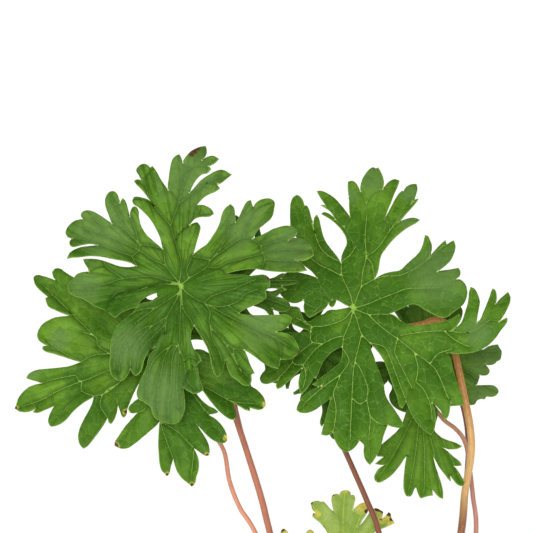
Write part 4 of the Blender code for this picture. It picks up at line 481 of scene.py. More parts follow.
# Main veins read from the photograph: each is a line of points in its pixels
VEINS = dict(
    front_left=(
        ((180.5, 285), (176.7, 280), (166.7, 266.7), (164.4, 256), (163.8, 248.9)),
        ((166.7, 266.7), (161, 263.5), (152, 259.3), (140, 250.8), (126.7, 244.4), (116.7, 240),
         (102.8, 234.4), (86, 229)),
        ((102.8, 234.4), (101.5, 226.1), (94, 219)),
        ((139, 249.5), (139, 244.4), (122.2, 227.2), (113.3, 223.9)),
        ((139.4, 244.4), (151, 246), (163, 249)), ((139, 243), (136.7, 234.4), (131.1, 217.8)),
        ((122, 227), (120, 215.6), (113, 202)), ((140, 250.8), (132.8, 256.7), (136.2, 265)),
        ((132.8, 256.7), (120, 252.2), (106, 247), (98.5, 244.6)),
        ((179, 284), (166.7, 280.6), (148.9, 276.7), (122.2, 278.9), (104.4, 284.4), (84, 287)),
        ((122.2, 277.8), (108, 268.5), (103.5, 261.5)),
        ((179, 285), (160, 284.6), (137.8, 290), (118.9, 291.7), (111.7, 298.3)),
        ((180, 288), (177, 294), (157.5, 306.9), (137.5, 321.3), (132.8, 326)),
        ((180.5, 288), (177.5, 297.5), (167.5, 316.3), (165, 333)),
        ((167.5, 316.3), (151.4, 327), (137, 341.4), (131.4, 353), (130.7, 367)),
        ((151.4, 325), (140, 330), (127.1, 341.4), (121.4, 355.7), (118.6, 372)),
        ((137.5, 321.3), (128.6, 330), (118.6, 341.4), (115, 355.7), (113.6, 370)),
        ((165, 324), (158.6, 331.5), (145.7, 343.5), (139.3, 355.7), (137.6, 369)),
        ((157.5, 306.9), (140, 310), (128, 316)),
        ((181.5, 288), (181.9, 296), (183.8, 310), (190, 319), (193.4, 325.2)),
        ((182, 287), (186.3, 292.5), (197, 300), (204, 303)),
        ((204, 303), (210, 312.5), (209.6, 324), (221.4, 338.6), (232.9, 347.9), (244, 349.6)),
        ((232.9, 347.9), (235.7, 360), (241.4, 372.9)), ((209.8, 326), (213, 341), (219, 352), (222, 362)),
        ((222, 339.5), (230, 352), (238, 366), (247, 376)),
        ((193.8, 325.6), (204.3, 337.1), (210, 348.6), (214.3, 361)),
        ((180.8, 290), (180, 325), (178.8, 343.8), (170, 346), (155.7, 358), (148.6, 371), (145.7, 386),
         (147, 398)),
        ((178.8, 343.8), (173, 354.3), (171.4, 368.6), (171.4, 385.7), (168.6, 400), (168, 416)),
        ((179, 346), (179, 360), (177.1, 375), (177.1, 391.4), (178.6, 408)),
        ((179.5, 348), (184.3, 362.9), (187.1, 380), (195, 389)),
        ((170, 347), (164.3, 357.1), (160.7, 374.3), (157.9, 391.4), (157, 408)),
        ((184, 362), (188, 357), (196, 359)),
        ((182, 284), (189.4, 278.3), (196.7, 273.9), (206.7, 267.2), (211, 260), (225.6, 248.9),
         (236, 241.5), (243.3, 237.8)),
        ((243.3, 237.8), (250, 238.6), (255, 241), (260, 245), (262.2, 251.7), (265, 259.4), (262, 268.6)),
        ((243.3, 237.8), (245.6, 231.7), (248, 223)), ((211, 260), (200, 258.2), (192, 256.6)),
        ((212, 259), (221, 247.2), (227.8, 233.9), (230, 222)),
        ((207, 267), (217, 268), (227.8, 262.8), (245.6, 258.3), (261, 254.4)),
        ((265, 259.4), (274, 260.6), (290, 261.5)), ((262.2, 246.1), (280, 240.6), (296, 240)),
        ((262.5, 253), (280, 250), (300, 250)), ((189, 278.5), (186.5, 270), (190, 262), (192, 257)),
        ((179.5, 283), (181, 262), (176, 245), (172, 232), (170.5, 226)),
        ((170.5, 226), (159.5, 213), (150, 200), (146, 186)),
        ((170.5, 226), (178, 205), (184, 182), (190, 168)),
        ((178, 205), (190, 195), (205, 184), (218, 177)),
        ((163.9, 248.9), (156, 232), (148, 218), (140, 205)),
        ((204.5, 303), (209, 298.5), (212.2, 296.1), (224.4, 291.7), (234, 289), (242.2, 285),
         (256, 279.5)),
        ((206.7, 304.4), (218, 306.6), (227.8, 305.3), (238.9, 300.6), (246.7, 293.4), (258, 289)),
        ((206.7, 304.4), (222, 313), (240, 322), (258, 330), (276, 338), (290, 347)),
        ((227.8, 305.3), (238, 312.6), (258, 318), (284, 320)),
    ),
    back_left=(
        ((149, 355), (130, 354), (110, 354), (93.6, 355.6), (80.6, 362)),
        ((149, 355), (128, 361), (107, 371), (82, 381), (75.5, 375)),
        ((82, 381), (60, 390), (44, 399), (28, 405)),
        ((82, 381), (82, 391), (94, 396.5)),
        ((149, 355), (134, 370), (120, 382), (107, 392.5), (94, 396.5)),
        ((120, 382), (105, 392), (100, 405), (107, 417)),
        ((94, 396.5), (84, 412), (80, 428), (84, 442)),
        ((149, 355), (180, 380), (208.6, 414.6), (220, 428)),
        ((180, 380), (206, 388), (230.4, 401), (254, 404)),
        ((149, 355), (152, 385), (159.6, 421)),
        ((159.6, 421), (166, 440), (173, 458)),
        ((159.6, 421), (178, 432), (194, 448)),
        ((194, 448), (193, 462), (191, 478)),
        ((110, 354), (98, 346), (96.6, 338), (88, 334), (82, 332)),
        ((96.6, 338), (80, 322), (62, 304), (44, 286)),
        ((80.6, 362), (62, 352), (48, 342)),
        ((75.5, 375), (60, 378), (42, 383)),
    ),
    front_right=(
        ((353.3, 308), (350, 294), (342, 276), (341.3, 263)),
        ((341.4, 262), (330, 257), (320, 247), (313, 228)),
        ((342, 276), (330, 270), (318, 264), (304, 252)),
        ((341.4, 262), (350, 255), (356, 246)),
        ((353.5, 308), (361, 288), (368, 283), (374, 279.4)),
        ((361, 288), (363, 272), (366, 257), (365, 236), (367, 214)),
        ((366, 257), (372, 264), (374.5, 278)),
        ((366, 257), (376, 250), (385, 238), (396, 222)),
        ((375, 279), (386, 276), (400, 275.4), (416, 268), (430, 258)),
        ((354, 308.5), (368, 304), (380, 299), (396, 293), (408, 289), (438, 288)),
        ((354, 309), (368, 314.2), (380, 314.4), (390, 314), (398, 310), (406, 307)),
        ((390.4, 313.9), (396, 317.4), (401, 321.6)),
        ((368, 314.4), (378, 324), (392, 335), (398, 339), (414, 352), (430, 364), (438, 374), (448, 398)),
        ((398, 338), (395, 349), (396, 356), (404, 372), (412, 388)),
        ((400, 335.6), (424, 332), (444, 331), (470, 332.2), (490, 320)),
        ((444, 331), (452, 338), (462, 344), (470, 347)),
        ((430, 364), (438, 354), (452, 349)),
        ((353.4, 310), (357, 320), (361.6, 334), (370, 343)),
        ((370.6, 343), (384, 347), (390, 358), (398, 380), (405, 398)),
        ((361.6, 334), (359, 346), (355, 361)),
        ((353, 310), (350, 322), (344, 336), (342.4, 347)),
        ((342.4, 348), (349, 361), (341, 374), (336, 386), (333, 393)),
        ((344, 336), (335, 338), (323, 344), (313, 352), (303, 365)),
        ((355, 361), (353, 376), (352, 398), (351, 420), (350, 440)),
        ((355, 361), (361, 370), (368, 388), (367, 400), (370, 418), (369, 440)),
        ((333, 393), (336, 410), (334, 428)),
        ((341, 374), (322, 388), (306, 402)),
        ((352, 398), (360, 404), (367, 400)),
        ((352, 310), (343, 320), (325, 326), (313, 327), (310, 333)),
        ((310, 333), (312, 342), (323, 344)),
        ((313, 327), (306, 323), (296, 318)),
        ((312, 343), (303, 350), (293, 359), (295, 364.4), (303, 365)),
        ((293, 362), (285, 372), (278, 378)),
        ((303, 365), (306, 375), (303, 388)),
        ((352, 308), (340, 304), (330, 298), (312, 290), (296, 286)),
        ((416, 382), (424, 390), (430, 404), (432, 420)),
        ((414, 352), (418, 368), (416, 382)),
    ),
)
# How strongly the veins show as pale threads, and on every other leaf
PALE_VEINS = dict(front_left=0.40, back_left=0.75, front_right=1.0)
PALE_ELSEWHERE = 0.6

# Where one lobe lies over the next: a line on the photograph. The side to its left, going along it,
# is the upper one
FOLDS = dict(
    front_left=(
        ((268, 276.5), (262, 275), (255, 275), (247, 276), (242, 272.8), (236, 274.5), (232, 276),
         (226.7, 272.8),
         (214, 279), (204, 286), (201.5, 292)),
        ((160, 284.6), (152, 286.5), (140, 289.5), (126, 293), (115, 299), (109.5, 305), (107.5, 312)),
        ((165, 334), (156, 341), (149.5, 352), (143.5, 364), (141.5, 372)),
        ((183, 382), (185.5, 374), (190, 367), (197, 364.5)),
    ),
)

# Dried places on the photograph: x, y, radius, and how brown (0 is only yellowed)
DRY_TIPS = dict(
    front_left=(
        (197.5, 148.0, 2.2, 1.2), (194.0, 151.0, 2.6, 1.2), (191.5, 155.0, 1.7, 1.2), (269, 278, 2.0, 1.1),
        (300, 353, 2.0, 1.1),
    ),
    back_left=(
        (15.5, 408, 2.2, 0.8), (115, 446, 3.0, 1.0), (126, 412, 2.2, 0.8), (167, 475, 2.2, 0.8),
        (192, 485, 2.2, 0.8), (207, 455, 2.0, 0.7), (226, 438, 2.2, 0.0), (265, 404, 2.2, 0.0),
    ),
    low_middle=(
        (311.5, 503, 1.5, 1.0), (312.5, 514, 1.4, 1.0), (332.5, 495, 1.3, 0.9), (366.5, 511.5, 1.8, 1.0),
        (377, 509.5, 2.0, 1.0), (382, 511.5, 1.8, 1.0), (389, 513.5, 2.4, 1.0), (391.5, 519.5, 1.8, 1.0),
        (317.5, 514, 3.0, 0.0), (363, 505, 6.0, 0.0), (345, 491, 2.4, 0.0), (384, 518, 5.0, 0.0),
        (392, 523, 4.0, 0.0),
    ),
    low_left=(
        (281, 529, 3.4, 1.0), (286, 523, 3.2, 1.0), (296, 530, 4.0, 1.0), (304.5, 527.5, 3.2, 1.0),
        (313, 527, 3.2, 0.9), (318.5, 531, 3.0, 1.0), (292, 537, 9.0, 0.0), (311, 536, 8.0, 0.0),
    ),
)

# Places of painted grey sheen, where the hairs catch the light: x, y and radius on the photograph
PAINTED_SHEEN_SPOTS = dict(
    front_left=(
        (190, 176, 46), (105, 225, 44), (290, 247, 36), (242, 222, 34), (86, 288, 24), (160, 396, 42),
        (126, 346, 32), (262, 326, 32),
    ),
    front_right=(
        (372, 180, 22), (350, 196, 12), (408, 192, 15), (407, 222, 12), (438, 275, 44), (478, 332, 22),
    ),
    far_right=((490, 362, 32), (484, 396, 28)),
    back_left=((30, 372, 14), (60, 340, 16)),
)

# Lighter (+) and darker (-) places: x, y, radius on the photograph and how much
# Some are the leaf's own tone, some painted light and shade: lobes in shadow darker, a shadowed gap lighter
TONES_AND_PAINTED_LIGHT = dict(
    front_left=(
        (175, 310, 22, -0.30), (120, 301, 18, -0.40), (85, 252, 15, -0.40), (245, 288, 24, -0.40),
        (199, 272, 14, -0.30), (265, 215, 20, 0.45), (300, 250, 14, 0.40), (236, 262, 18, 0.50),
        (286, 262, 14, 0.3), (260, 325, 26, 0.50), (225, 345, 14, 0.15), (152, 210, 20, 0.40),
        (177, 250, 15, 0.50), (118, 210, 16, 0.30), (150, 345, 11, -0.50), (190, 385, 12, -0.40),
        (190, 185, 40, 0.30), (250, 235, 46, 0.20), (115, 235, 46, 0.20), (95, 225, 15, 0.2),
        (125, 345, 16, 0.15), (168, 385, 16, 0.15), (100, 283, 16, 0.15),
    ),
    back_left=(
        (60, 335, 25, 0.40), (85, 345, 15, 0.25), (110, 385, 18, 0.30), (220, 420, 25, -0.60),
        (235, 400, 18, -0.60), (190, 408, 18, -0.50), (95, 410, 18, -0.20), (45, 390, 18, 0.30),
    ),
    front_right=(
        (345, 260, 26, -0.35), (330, 285, 18, -0.30), (385, 302, 20, -0.45), (370, 190, 22, 0.20),
        (300, 240, 14, -0.20), (350, 390, 36, -0.40), (370, 330, 20, -0.45), (425, 370, 26, -0.25),
        (308, 345, 24, -0.45), (325, 365, 16, -0.45), (472, 322, 18, 0.15), (420, 345, 22, 0.10),
        (318, 300, 15, -0.60),
    ),
    far_right=((480, 360, 40, 0.60), (480, 400, 34, 0.60), (415, 316, 26, 1.10)),
    behind_middle=((388, 450, 26, 0.30), (430, 455, 20, 0.30)),
)

# Leaf colours: the blade, the painted shade of its grooves and folds, its pale veins, its painted grey
# sheen
LEAF_COLOURS = dict(
    leaf_green=((0.082, 0.205, 0.008), (0.024, 0.082, 0.002), (0.30, 0.50, 0.080), (0.115, 0.215, 0.056)),
    leaf_dark=((0.068, 0.170, 0.010), (0.024, 0.078, 0.003), (0.22, 0.38, 0.070), (0.105, 0.190, 0.048)),
    leaf_bright=((0.100, 0.225, 0.009), (0.042, 0.120, 0.004), (0.28, 0.46, 0.075), (0.115, 0.220, 0.040)),
    leaf_yellow=((0.320, 0.440, 0.080), (0.225, 0.345, 0.042), (0.56, 0.68, 0.24), (0.300, 0.430, 0.100)),
)

# How closely pleats run round a leaf's hub, and how quickly they change along each millimetre
RAY_COUNT = 24.0
RAY_STRETCH = 0.07

# The underside, dried and yellowed places, and the pale dots in the notches
UNDERSIDE = (0.150, 0.255, 0.075)
DRY_BROWN = (0.045, 0.018, 0.008)
DRY_TAN = (0.115, 0.066, 0.025)
YELLOWED = (0.600, 0.520, 0.090)
VEIN_DOT = (0.50, 0.60, 0.20)

# Stalk colours: under the blade, halfway and near the soil
STALK_COLOURS = dict(
    stalk_red=((0.300, 0.130, 0.070), (0.430, 0.150, 0.085), (0.300, 0.085, 0.042)),
    stalk_salmon=((0.480, 0.210, 0.120), (0.600, 0.250, 0.150), (0.380, 0.120, 0.062)),
    stalk_tan=((0.480, 0.200, 0.045), (0.620, 0.365, 0.135), (0.200, 0.078, 0.032)),
    stalk_brown=((0.230, 0.090, 0.045), (0.205, 0.066, 0.030), (0.210, 0.048, 0.020)),
    stalk_pink=((0.460, 0.240, 0.120), (0.450, 0.200, 0.145), (0.300, 0.095, 0.060)),
    stalk_pale=((0.300, 0.330, 0.110), (0.350, 0.310, 0.125), (0.330, 0.160, 0.080)),
)
# Where up a stalk its lowest colour ends, its middle one starts and ends and its uppermost one starts,
# as shares of its height
STALK_SPANS = dict(stalk_tan=(0.59, 0.69, 0.72, 0.88))
STALK_SPAN = (0.0, 0.62, 0.715, 1.0)

# Pot with its dust and rubbed rim, soil with its bark and grit, rootstock with its dry scales
POT_COLOUR = (0.300, 0.105, 0.052)
DUST_COLOUR = (0.300, 0.210, 0.150)
RUBBED_COLOUR = (0.520, 0.240, 0.150)
SOIL_COLOUR = (0.030, 0.019, 0.012)
BARK_COLOUR = (0.095, 0.048, 0.023)
PERLITE_COLOUR = (0.620, 0.600, 0.560)
CROWN_COLOUR = (0.090, 0.045, 0.025)
SCALE_COLOUR = (0.260, 0.130, 0.060)

# The ways right, up and out of the photograph, and where the rootstock stands
RIGHT = Vector((1.0, 0.0, 0.0))
UP = Vector((0.0, math.sin(VIEW_ELEVATION), math.cos(VIEW_ELEVATION)))
OUT = Vector((0.0, -math.cos(VIEW_ELEVATION), math.sin(VIEW_ELEVATION)))
ROOT = Vector((0.0, 0.0, SOIL_TOP))


def spread(origin, *steps):
    """The points reached from the origin by these steps, each a list of lengths and a way."""
    points = np.array(origin)
    for lengths, way in steps:
        points = points + np.outer(lengths, np.array(way))
    return points


def photo_points(x, y, depth):
    """The points seen at (x, y) of the photograph, depth in front of the rootstock, as an array."""
    near = (VIEW_DISTANCE - depth + VIEW_DEPTH) / VIEW_DISTANCE
    across = (x - MIDDLE_PX[0]) * PIXEL * near - (ROOT_PX[0] - MIDDLE_PX[0]) * PIXEL
    rise = (MIDDLE_PX[1] - y) * PIXEL * near - (MIDDLE_PX[1] - ROOT_PX[1]) * PIXEL
    return spread(ROOT, (across, RIGHT), (rise, UP), (depth, OUT))


def photo_point(x, y, depth):
    return Vector(photo_points(np.array([x]), np.array([y]), np.array([depth]))[0])


def from_hub(leaf, x, y):
    """A place on the photograph in metres from where the leaf's stalk joins it, x across and y up."""
    return (x - leaf["hub"][0]) * PIXEL, (leaf["hub"][1] - y) * PIXEL


def leaf_margin(leaf):
    """The leaf's margin, from its hub."""
    if leaf["margin"] is None:
        return small_margin(leaf["lobes"], leaf["reach"])
    return [from_hub(leaf, x, y) for x, y in leaf["margin"]]


def leaf_ribs(leaf):
    """The far ends of the leaf's main ribs."""
    if leaf["margin"] is not None:
        return [from_hub(leaf, x, y) for x, y in leaf["tips"]]
    ribs = []
    for angle, share in leaf["lobes"]:
        length = leaf["reach"] * share
        turn = math.radians(angle)
        ribs.append((length * math.cos(turn), length * math.sin(turn)))
    return ribs


def rib_distance(ribs, x, y):
    """How far each point lies from the nearest main rib."""
    nearest = np.full(len(x), 1.0)
    for rib_x, rib_y in ribs:
        share = np.clip((x * rib_x + y * rib_y) / (rib_x * rib_x + rib_y * rib_y), 0.0, 1.0)
        nearest = np.minimum(nearest, np.hypot(x - share * rib_x, y - share * rib_y))
    return nearest


def nearest_marks(points, lines):
    """For each point: its gap to the nearest line, the way to it from there, and the line's way there."""
    marks = []
    ways = []
    for line in lines:
        for start, end in zip(line[:-1], line[1:]):
            length = np.hypot(*(end - start))
            parts = int(length / NEAR_STEP) + 1
            marks.append(start + (end - start) * (np.arange(parts) / parts)[:, None])
            ways.append(np.tile((end - start) / max(length, 1e-9), (parts, 1)))
        marks.append(line[-1:])
        ways.append(ways[-1][-1:])
    marks = np.concatenate(marks)
    ways = np.concatenate(ways)
    tree = KDTree(len(marks))
    for index, (x, y) in enumerate(marks.tolist()):
        tree.insert((x, y, 0.0), index)
    tree.balance()
    found = [tree.find((x, y, 0.0)) for x, y in points.tolist()]
    chosen = np.array([index for _, index, _ in found])
    return np.array([gap for _, _, gap in found]), points - marks[chosen], ways[chosen]


def line_distance(points, lines):
    return nearest_marks(points, lines)[0]


def margin_distance(points, fine):
    return line_distance(points, [np.concatenate([fine, fine[:1]])])


def rising(gap, width):
    """0 on a line and 1 far from it, over about this width."""
    return 1.0 - np.exp(-((gap / width) ** 2))


def relief(leaf, ribs, x, y):
    """How far the blade stands towards the viewer at each point, as in the solid."""
    radius = np.hypot(x, y)
    share = radius / leaf["reach"]
    height = leaf["curl"] * share * share
    if "lean" in leaf:
        height += leaf["lean"][0] * x + leaf["lean"][1] * y
    angle = np.degrees(np.arctan2(y, x))
    for direction, width, amount in leaf["bends"]:
        away = (angle - direction + 180.0) % 360.0 - 180.0
        height += amount * np.exp(-((away / width) ** 2)) * share ** 2
    height += GROOVE * rising(rib_distance(ribs, x, y), GROOVE_WIDTH) * np.minimum(1.0, radius / 0.008)
    height += HUB_PIT * rising(radius, 0.005)
    height += RIPPLE * np.sin(330.0 * x + 1.3) * np.sin(290.0 * y + 0.4) * np.minimum(1.0, share * 1.5)
    return height


def blade_points(leaf, x, y, height):
    """The blade's points in space, from their flat places and their heights."""
    if "at" not in leaf:
        hub_x, hub_y = leaf["hub"]
        return photo_points(hub_x + x / PIXEL, hub_y - y / PIXEL, leaf["depth"] + height)
    turn, rise = (math.radians(angle) for angle in leaf["faces"])
    facing = Vector((math.cos(turn) * math.cos(rise), math.sin(turn) * math.cos(rise), math.sin(rise)))
    along = Vector((math.cos(turn) * math.sin(rise), math.sin(turn) * math.sin(rise), -math.cos(rise)))
    return spread(ROOT + Vector(leaf["at"]), (x, along.cross(facing)), (y, along), (height, facing))


def blade_hub(leaf, ribs):
    """Where the stalk joins the blade, and the way that the blade faces there."""
    x = np.array([0.0, 0.002, -0.002, 0.0, 0.0])
    y = np.array([0.0, 0.0, 0.0, 0.002, -0.002])
    points = blade_points(leaf, x, y, relief(leaf, ribs, x, y))
    hub, east, west, north, south = (Vector(point) for point in points)
    return hub, (east - west).cross(north - south).normalized()


def smooth_margin(margin, step):
    """The margin rounded between its points, with its sharp notches and teeth kept."""
    ends = np.array(margin)
    count = len(ends)
    runs = np.roll(ends, -1, axis=0) - ends
    lengths = np.hypot(runs[:, 0], runs[:, 1])
    ways = runs / lengths[:, None]
    before = np.roll(ways, 1, axis=0)
    turning = np.arccos(np.clip((ways * before).sum(axis=1), -1, 1))
    middle = ways + before
    middle /= np.maximum(np.hypot(middle[:, 0], middle[:, 1]), 1e-9)[:, None]
    fine = []
    for index in range(count):
        after = (index + 1) % count
        leave = ways[index] if turning[index] > CORNER else middle[index]
        arrive = ways[index] if turning[after] > CORNER else middle[after]
        parts = max(1, int(round(lengths[index] / step)))
        for part in range(parts):
            t = part / parts
            fine.append(
                ends[index] * (2 * t ** 3 - 3 * t * t + 1)
                + ends[after] * (3 * t * t - 2 * t ** 3)
                + leave * lengths[index] * (t ** 3 - 2 * t * t + t)
                + arrive * lengths[index] * (t ** 3 - t * t)
            )
    return np.array(fine)


def inside(margin, points):
    """Which of these points lie inside the margin."""
    x, y = points[:, 0], points[:, 1]
    found = np.zeros(len(points), bool)
    for (x0, y0), (x1, y1) in zip(margin, np.roll(margin, -1, axis=0)):
        if y0 != y1:
            found ^= ((y0 > y) != (y1 > y)) & (x < x0 + (y - y0) * (x1 - x0) / (y1 - y0))
    return found


def margin_ends(fine):
    """The tips and the notches of the margin, each with whether it is a tip, from the hub outwards."""
    reach = max(1, int(round(TOOTH_ARM / MARGIN_STEP)))
    back = fine - np.roll(fine, reach, axis=0)
    ahead = np.roll(fine, -reach, axis=0) - fine
    turn = -np.arctan2(back[:, 0] * ahead[:, 1] - back[:, 1] * ahead[:, 0], (back * ahead).sum(axis=1))
    best = np.abs(turn) > TOOTH
    for shift in range(1, reach + 1):
        best &= np.abs(turn) >= np.abs(np.roll(turn, shift))
        best &= np.abs(turn) >= np.abs(np.roll(turn, -shift))
    ends = [(fine[index], turn[index] > 0) for index in np.nonzero(best)[0]]
    return sorted(ends, key=lambda each: np.hypot(*each[0]))


def vein(start, control, end):
    """A curved vein as a line of points."""
    length = np.hypot(*(end - start))
    t = np.linspace(0.0, 1.0, max(2, int(length / VEIN_STEP) + 1))[:, None]
    return start * (1 - t) ** 2 + control * 2 * t * (1 - t) + end * t * t


def rounded(points, step=None):
    """A flowing line through these points, in steps of this length or else in a set number of parts."""
    ends = [points[0] * 2 - points[1]] + points + [points[-1] * 2 - points[-2]]
    line = []
    for index in range(1, len(ends) - 2):
        a, b, c, d = ends[index - 1 : index + 3]
        parts = STALK_PARTS if step is None else max(1, int(np.hypot(*(c - b)) / step))
        for part in range(parts):
            t = part / parts
            bend = (2 * a - 5 * b + 4 * c - d) * t * t
            twist = (3 * b - a - 3 * c + d) * t ** 3
            line.append(0.5 * (2 * b + (c - a) * t + bend + twist))
    line.append(points[-1])
    return line


def photo_lines(leaf, table, fine):
    """The leaf's lines in this table, from its hub, each cut off where it leaves the margin."""
    lines = []
    for found in table.get(leaf["name"], ()):
        line = np.array(rounded([np.array(from_hub(leaf, x, y)) for x, y in found], VEIN_STEP))
        kept = inside(fine, line[1:])
        if not kept.all():
            line = line[: max(2, int(np.argmin(kept)) + 1)]
        lines.append(line)
    return lines


def photo_spots(leaf, table):
    """The leaf's round places in this table, from its hub: x, y, radius and what else is given."""
    found = table.get(leaf["name"], ())
    return [(*from_hub(leaf, x, y), radius * PIXEL, *rest) for x, y, radius, *rest in found]


def leaf_veins(leaf, fine, ribs):
    """The leaf's main veins, the finer ones from them to its teeth and notches, and its notches."""
    veins = photo_lines(leaf, VEINS, fine)
    if not veins:
        for rib in ribs:
            end = np.array(rib)
            aside = np.array((-end[1], end[0])) * 0.06
            veins.append(vein(np.zeros(2), end * 0.5 + aside, end * 0.97))
    network = np.concatenate(veins)
    twigs, notches = [], []
    for end, tip in margin_ends(fine):
        if not tip:
            notches.append(end)
        runs = end - network
        lengths = np.hypot(runs[:, 0], runs[:, 1])
        if lengths.min() < (TIP_REACH if tip else NOTCH_REACH):
            continue
        radial = end / np.hypot(*end)
        ahead = (runs @ radial) / lengths
        cost = lengths * (1.0 + 1.6 * (1.0 - ahead))
        cost[(ahead < 0.5) | (lengths < SHORTEST_TWIG)] = 1.0
        for index in np.argsort(cost)[:40:3]:
            if cost[index] >= 1.0:
                break
            start = network[index]
            line = vein(start, start + radial * lengths[index] * 0.5, end * 0.996 + start * 0.004)
            if len(line) < 3 or inside(fine, line[1:-1]).all():
                twigs.append(line)
                network = np.concatenate([network, line[1:]])
                break
    return veins, twigs, notches


def grid_points(fine, spacing):
    """An even grid of points over the leaf."""
    low, high = fine.min(axis=0), fine.max(axis=0)
    columns = np.arange(low[0], high[0], spacing)
    rows = np.arange(low[1], high[1], spacing * 0.866)
    x, y = np.meshgrid(columns, rows)
    x[1::2] += spacing / 2
    return np.stack([x.ravel(), y.ravel()], axis=1)


def leaf_triangles(fine, lines):
    """The leaf filled with small triangles that keep to these lines: its flat points and its faces."""
    grid = grid_points(fine, FINE)
    grid = grid[inside(fine, grid)]
    grid = grid[margin_distance(grid, fine) > CLEAR]
    grid = grid[line_distance(grid, lines) > CLEAR]
    points = list(fine)
    edges = []
    for line in lines:
        first = len(points)
        points += list(line)
        edges += [(first + step, first + step + 1) for step in range(len(line) - 1)]
    points = [Vector(point) for point in points + list(grid)]
    found = delaunay_2d_cdt(points, edges, [list(range(len(fine)))], 1, 1e-6)
    flat = np.array([tuple(point) for point in found[0]])
    faces = np.array(found[2])
    faces = faces[inside(fine, flat[faces].mean(axis=1))]
    used, faces = np.unique(faces, return_inverse=True)
    return flat[used], faces.reshape(-1, 3)


def near_spots(points, spots, widen):
    """1 in the middle of these spots (x, y, radius), falling to 0 at the radius times widen."""
    found = np.zeros(len(points))
    for x, y, radius in spots:
        gap = np.hypot(points[:, 0] - x, points[:, 1] - y)
        found = np.maximum(found, np.clip(1.0 - gap / (radius * widen), 0.0, 1.0))
    return found


def new_piece(name, data, materials, nodes):
    """Puts one piece in the scene, in place of its solids."""
    obj = bpy.data.objects.new(name, data)
    bpy.context.collection.objects.link(obj)
    for each in materials:
        data.materials.append(each)
    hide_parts(*nodes)
    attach(obj, "root")
    return obj


def build_leaf(leaf):
    """One leaf: its outline filled with small triangles along its veins, formed and made thick."""
    ribs = leaf_ribs(leaf)
    fine = smooth_margin(leaf_margin(leaf), MARGIN_STEP)
    veins, twigs, notches = leaf_veins(leaf, fine, ribs)
    folds = photo_lines(leaf, FOLDS, fine)
    flat, faces = leaf_triangles(fine, veins + twigs + folds)
    x, y = flat[:, 0], flat[:, 1]
    vein_gap, from_vein, _ = nearest_marks(flat, veins)
    twig_gap, from_twig, _ = nearest_marks(flat, twigs)
    edge_gap = margin_distance(flat, fine)
    height = relief(leaf, ribs, x, y) - SINK
    height += PUCKER * rising(vein_gap, PUCKER_WIDTH)
    height += PUCKER * 0.6 * rising(twig_gap, PUCKER_WIDTH * 0.8)
    waves = WAVE * np.sin(2100.0 * x + 3.0 * np.sin(900.0 * y))
    height += waves * np.sin(1900.0 * y + 2.0 * np.sin(1100.0 * x))
    height -= EDGE_DROP * np.exp(-((edge_gap / EDGE_WIDTH) ** 2))
    fold_shadow = np.zeros(len(x))
    if folds:
        fold_gap, from_fold, fold_way = nearest_marks(flat, folds)
        upper = fold_way[:, 0] * from_fold[:, 1] - fold_way[:, 1] * from_fold[:, 0] > -0.000002
        lowered = -FOLD_LIFT * 0.5 * np.exp(-fold_gap / FOLD_UNDER)
        height += np.where(upper, FOLD_LIFT * np.exp(-fold_gap / FOLD_OVER), lowered)
        # Beside the step the lower lobe gets a painted shadow
        fold_shadow = np.where(upper, 0.0, np.exp(-fold_gap / FOLD_SHADE))
    name = "leaf_" + leaf["name"]
    mesh = bpy.data.meshes.new(name)
    mesh.from_pydata(blade_points(leaf, x, y, height), [], faces)
    facing = blade_hub(leaf, ribs)[1]
    work = bmesh.new()
    work.from_mesh(mesh)
    for face in work.faces:
        if face.normal.dot(facing) < 0:
            face.normal_flip()
    work.to_mesh(mesh)
    work.free()
    mesh.shade_smooth()
    spots = photo_spots(leaf, DRY_TIPS)
    brown = [(*place, radius * share) for *place, radius, share in spots if share > 0]
    yellow = [tuple(place) for *place, share in spots if share <= 1]
    # Places of tone, some of them painted light and shade
    tone_and_light_spots = []
    for *place, amount in photo_spots(leaf, TONES_AND_PAINTED_LIGHT):
        tone_and_light_spots.append(near_spots(flat, [place], TONE_AND_LIGHT_SPREAD) * amount * TONE_AND_LIGHT_AMOUNT)
    marks = dict(
        vein_mm=np.minimum(vein_gap, FAR) * 1000,
        twig_mm=np.minimum(twig_gap, FAR) * 1000,
        vein_side=from_vein[:, 1] / np.maximum(vein_gap, 1e-5),
        twig_side=from_twig[:, 1] / np.maximum(twig_gap, 1e-5),
        fold_shadow=fold_shadow,
        tone_and_light=np.clip(np.sum(tone_and_light_spots, axis=0), -0.5, 0.5) if tone_and_light_spots else np.zeros(len(x)),
        pale_veins=np.full(len(x), PALE_VEINS.get(leaf["name"], PALE_ELSEWHERE)),
        edge_mm=np.minimum(edge_gap, FAR) * 1000,
        hub_mm=np.hypot(x, y) * 1000,
        dry=near_spots(flat, brown, DRY_SPREAD),
        pale=near_spots(flat, yellow, YELLOW_SPREAD),
        dot=near_spots(flat, [(*notch, NOTCH_DOT) for notch in notches], 1.0),
        # Where the painted grey sheen lies
        painted_sheen=near_spots(flat, photo_spots(leaf, PAINTED_SHEEN_SPOTS), 1.0),
    )
    for key, values in marks.items():
        mesh.attributes.new(key, "FLOAT", "POINT").data.foreach_set("value", values.astype(np.float32))
    place = np.stack([x, y, np.full(len(x), leaf["reach"])], axis=1).ravel()
    there = mesh.attributes.new("leaf_mm", "FLOAT_VECTOR", "POINT")
    there.data.foreach_set("vector", place.astype(np.float32) * 1000)
    colour = leaf["colour"]
    obj = new_piece(name, mesh, leaf_materials[colour], ["blade_" + leaf["name"]])
    thick = obj.modifiers.new("thickness", "SOLIDIFY")
    thick.thickness = THIN_BLADE
    thick.offset = 0.0
    thick.material_offset = 1


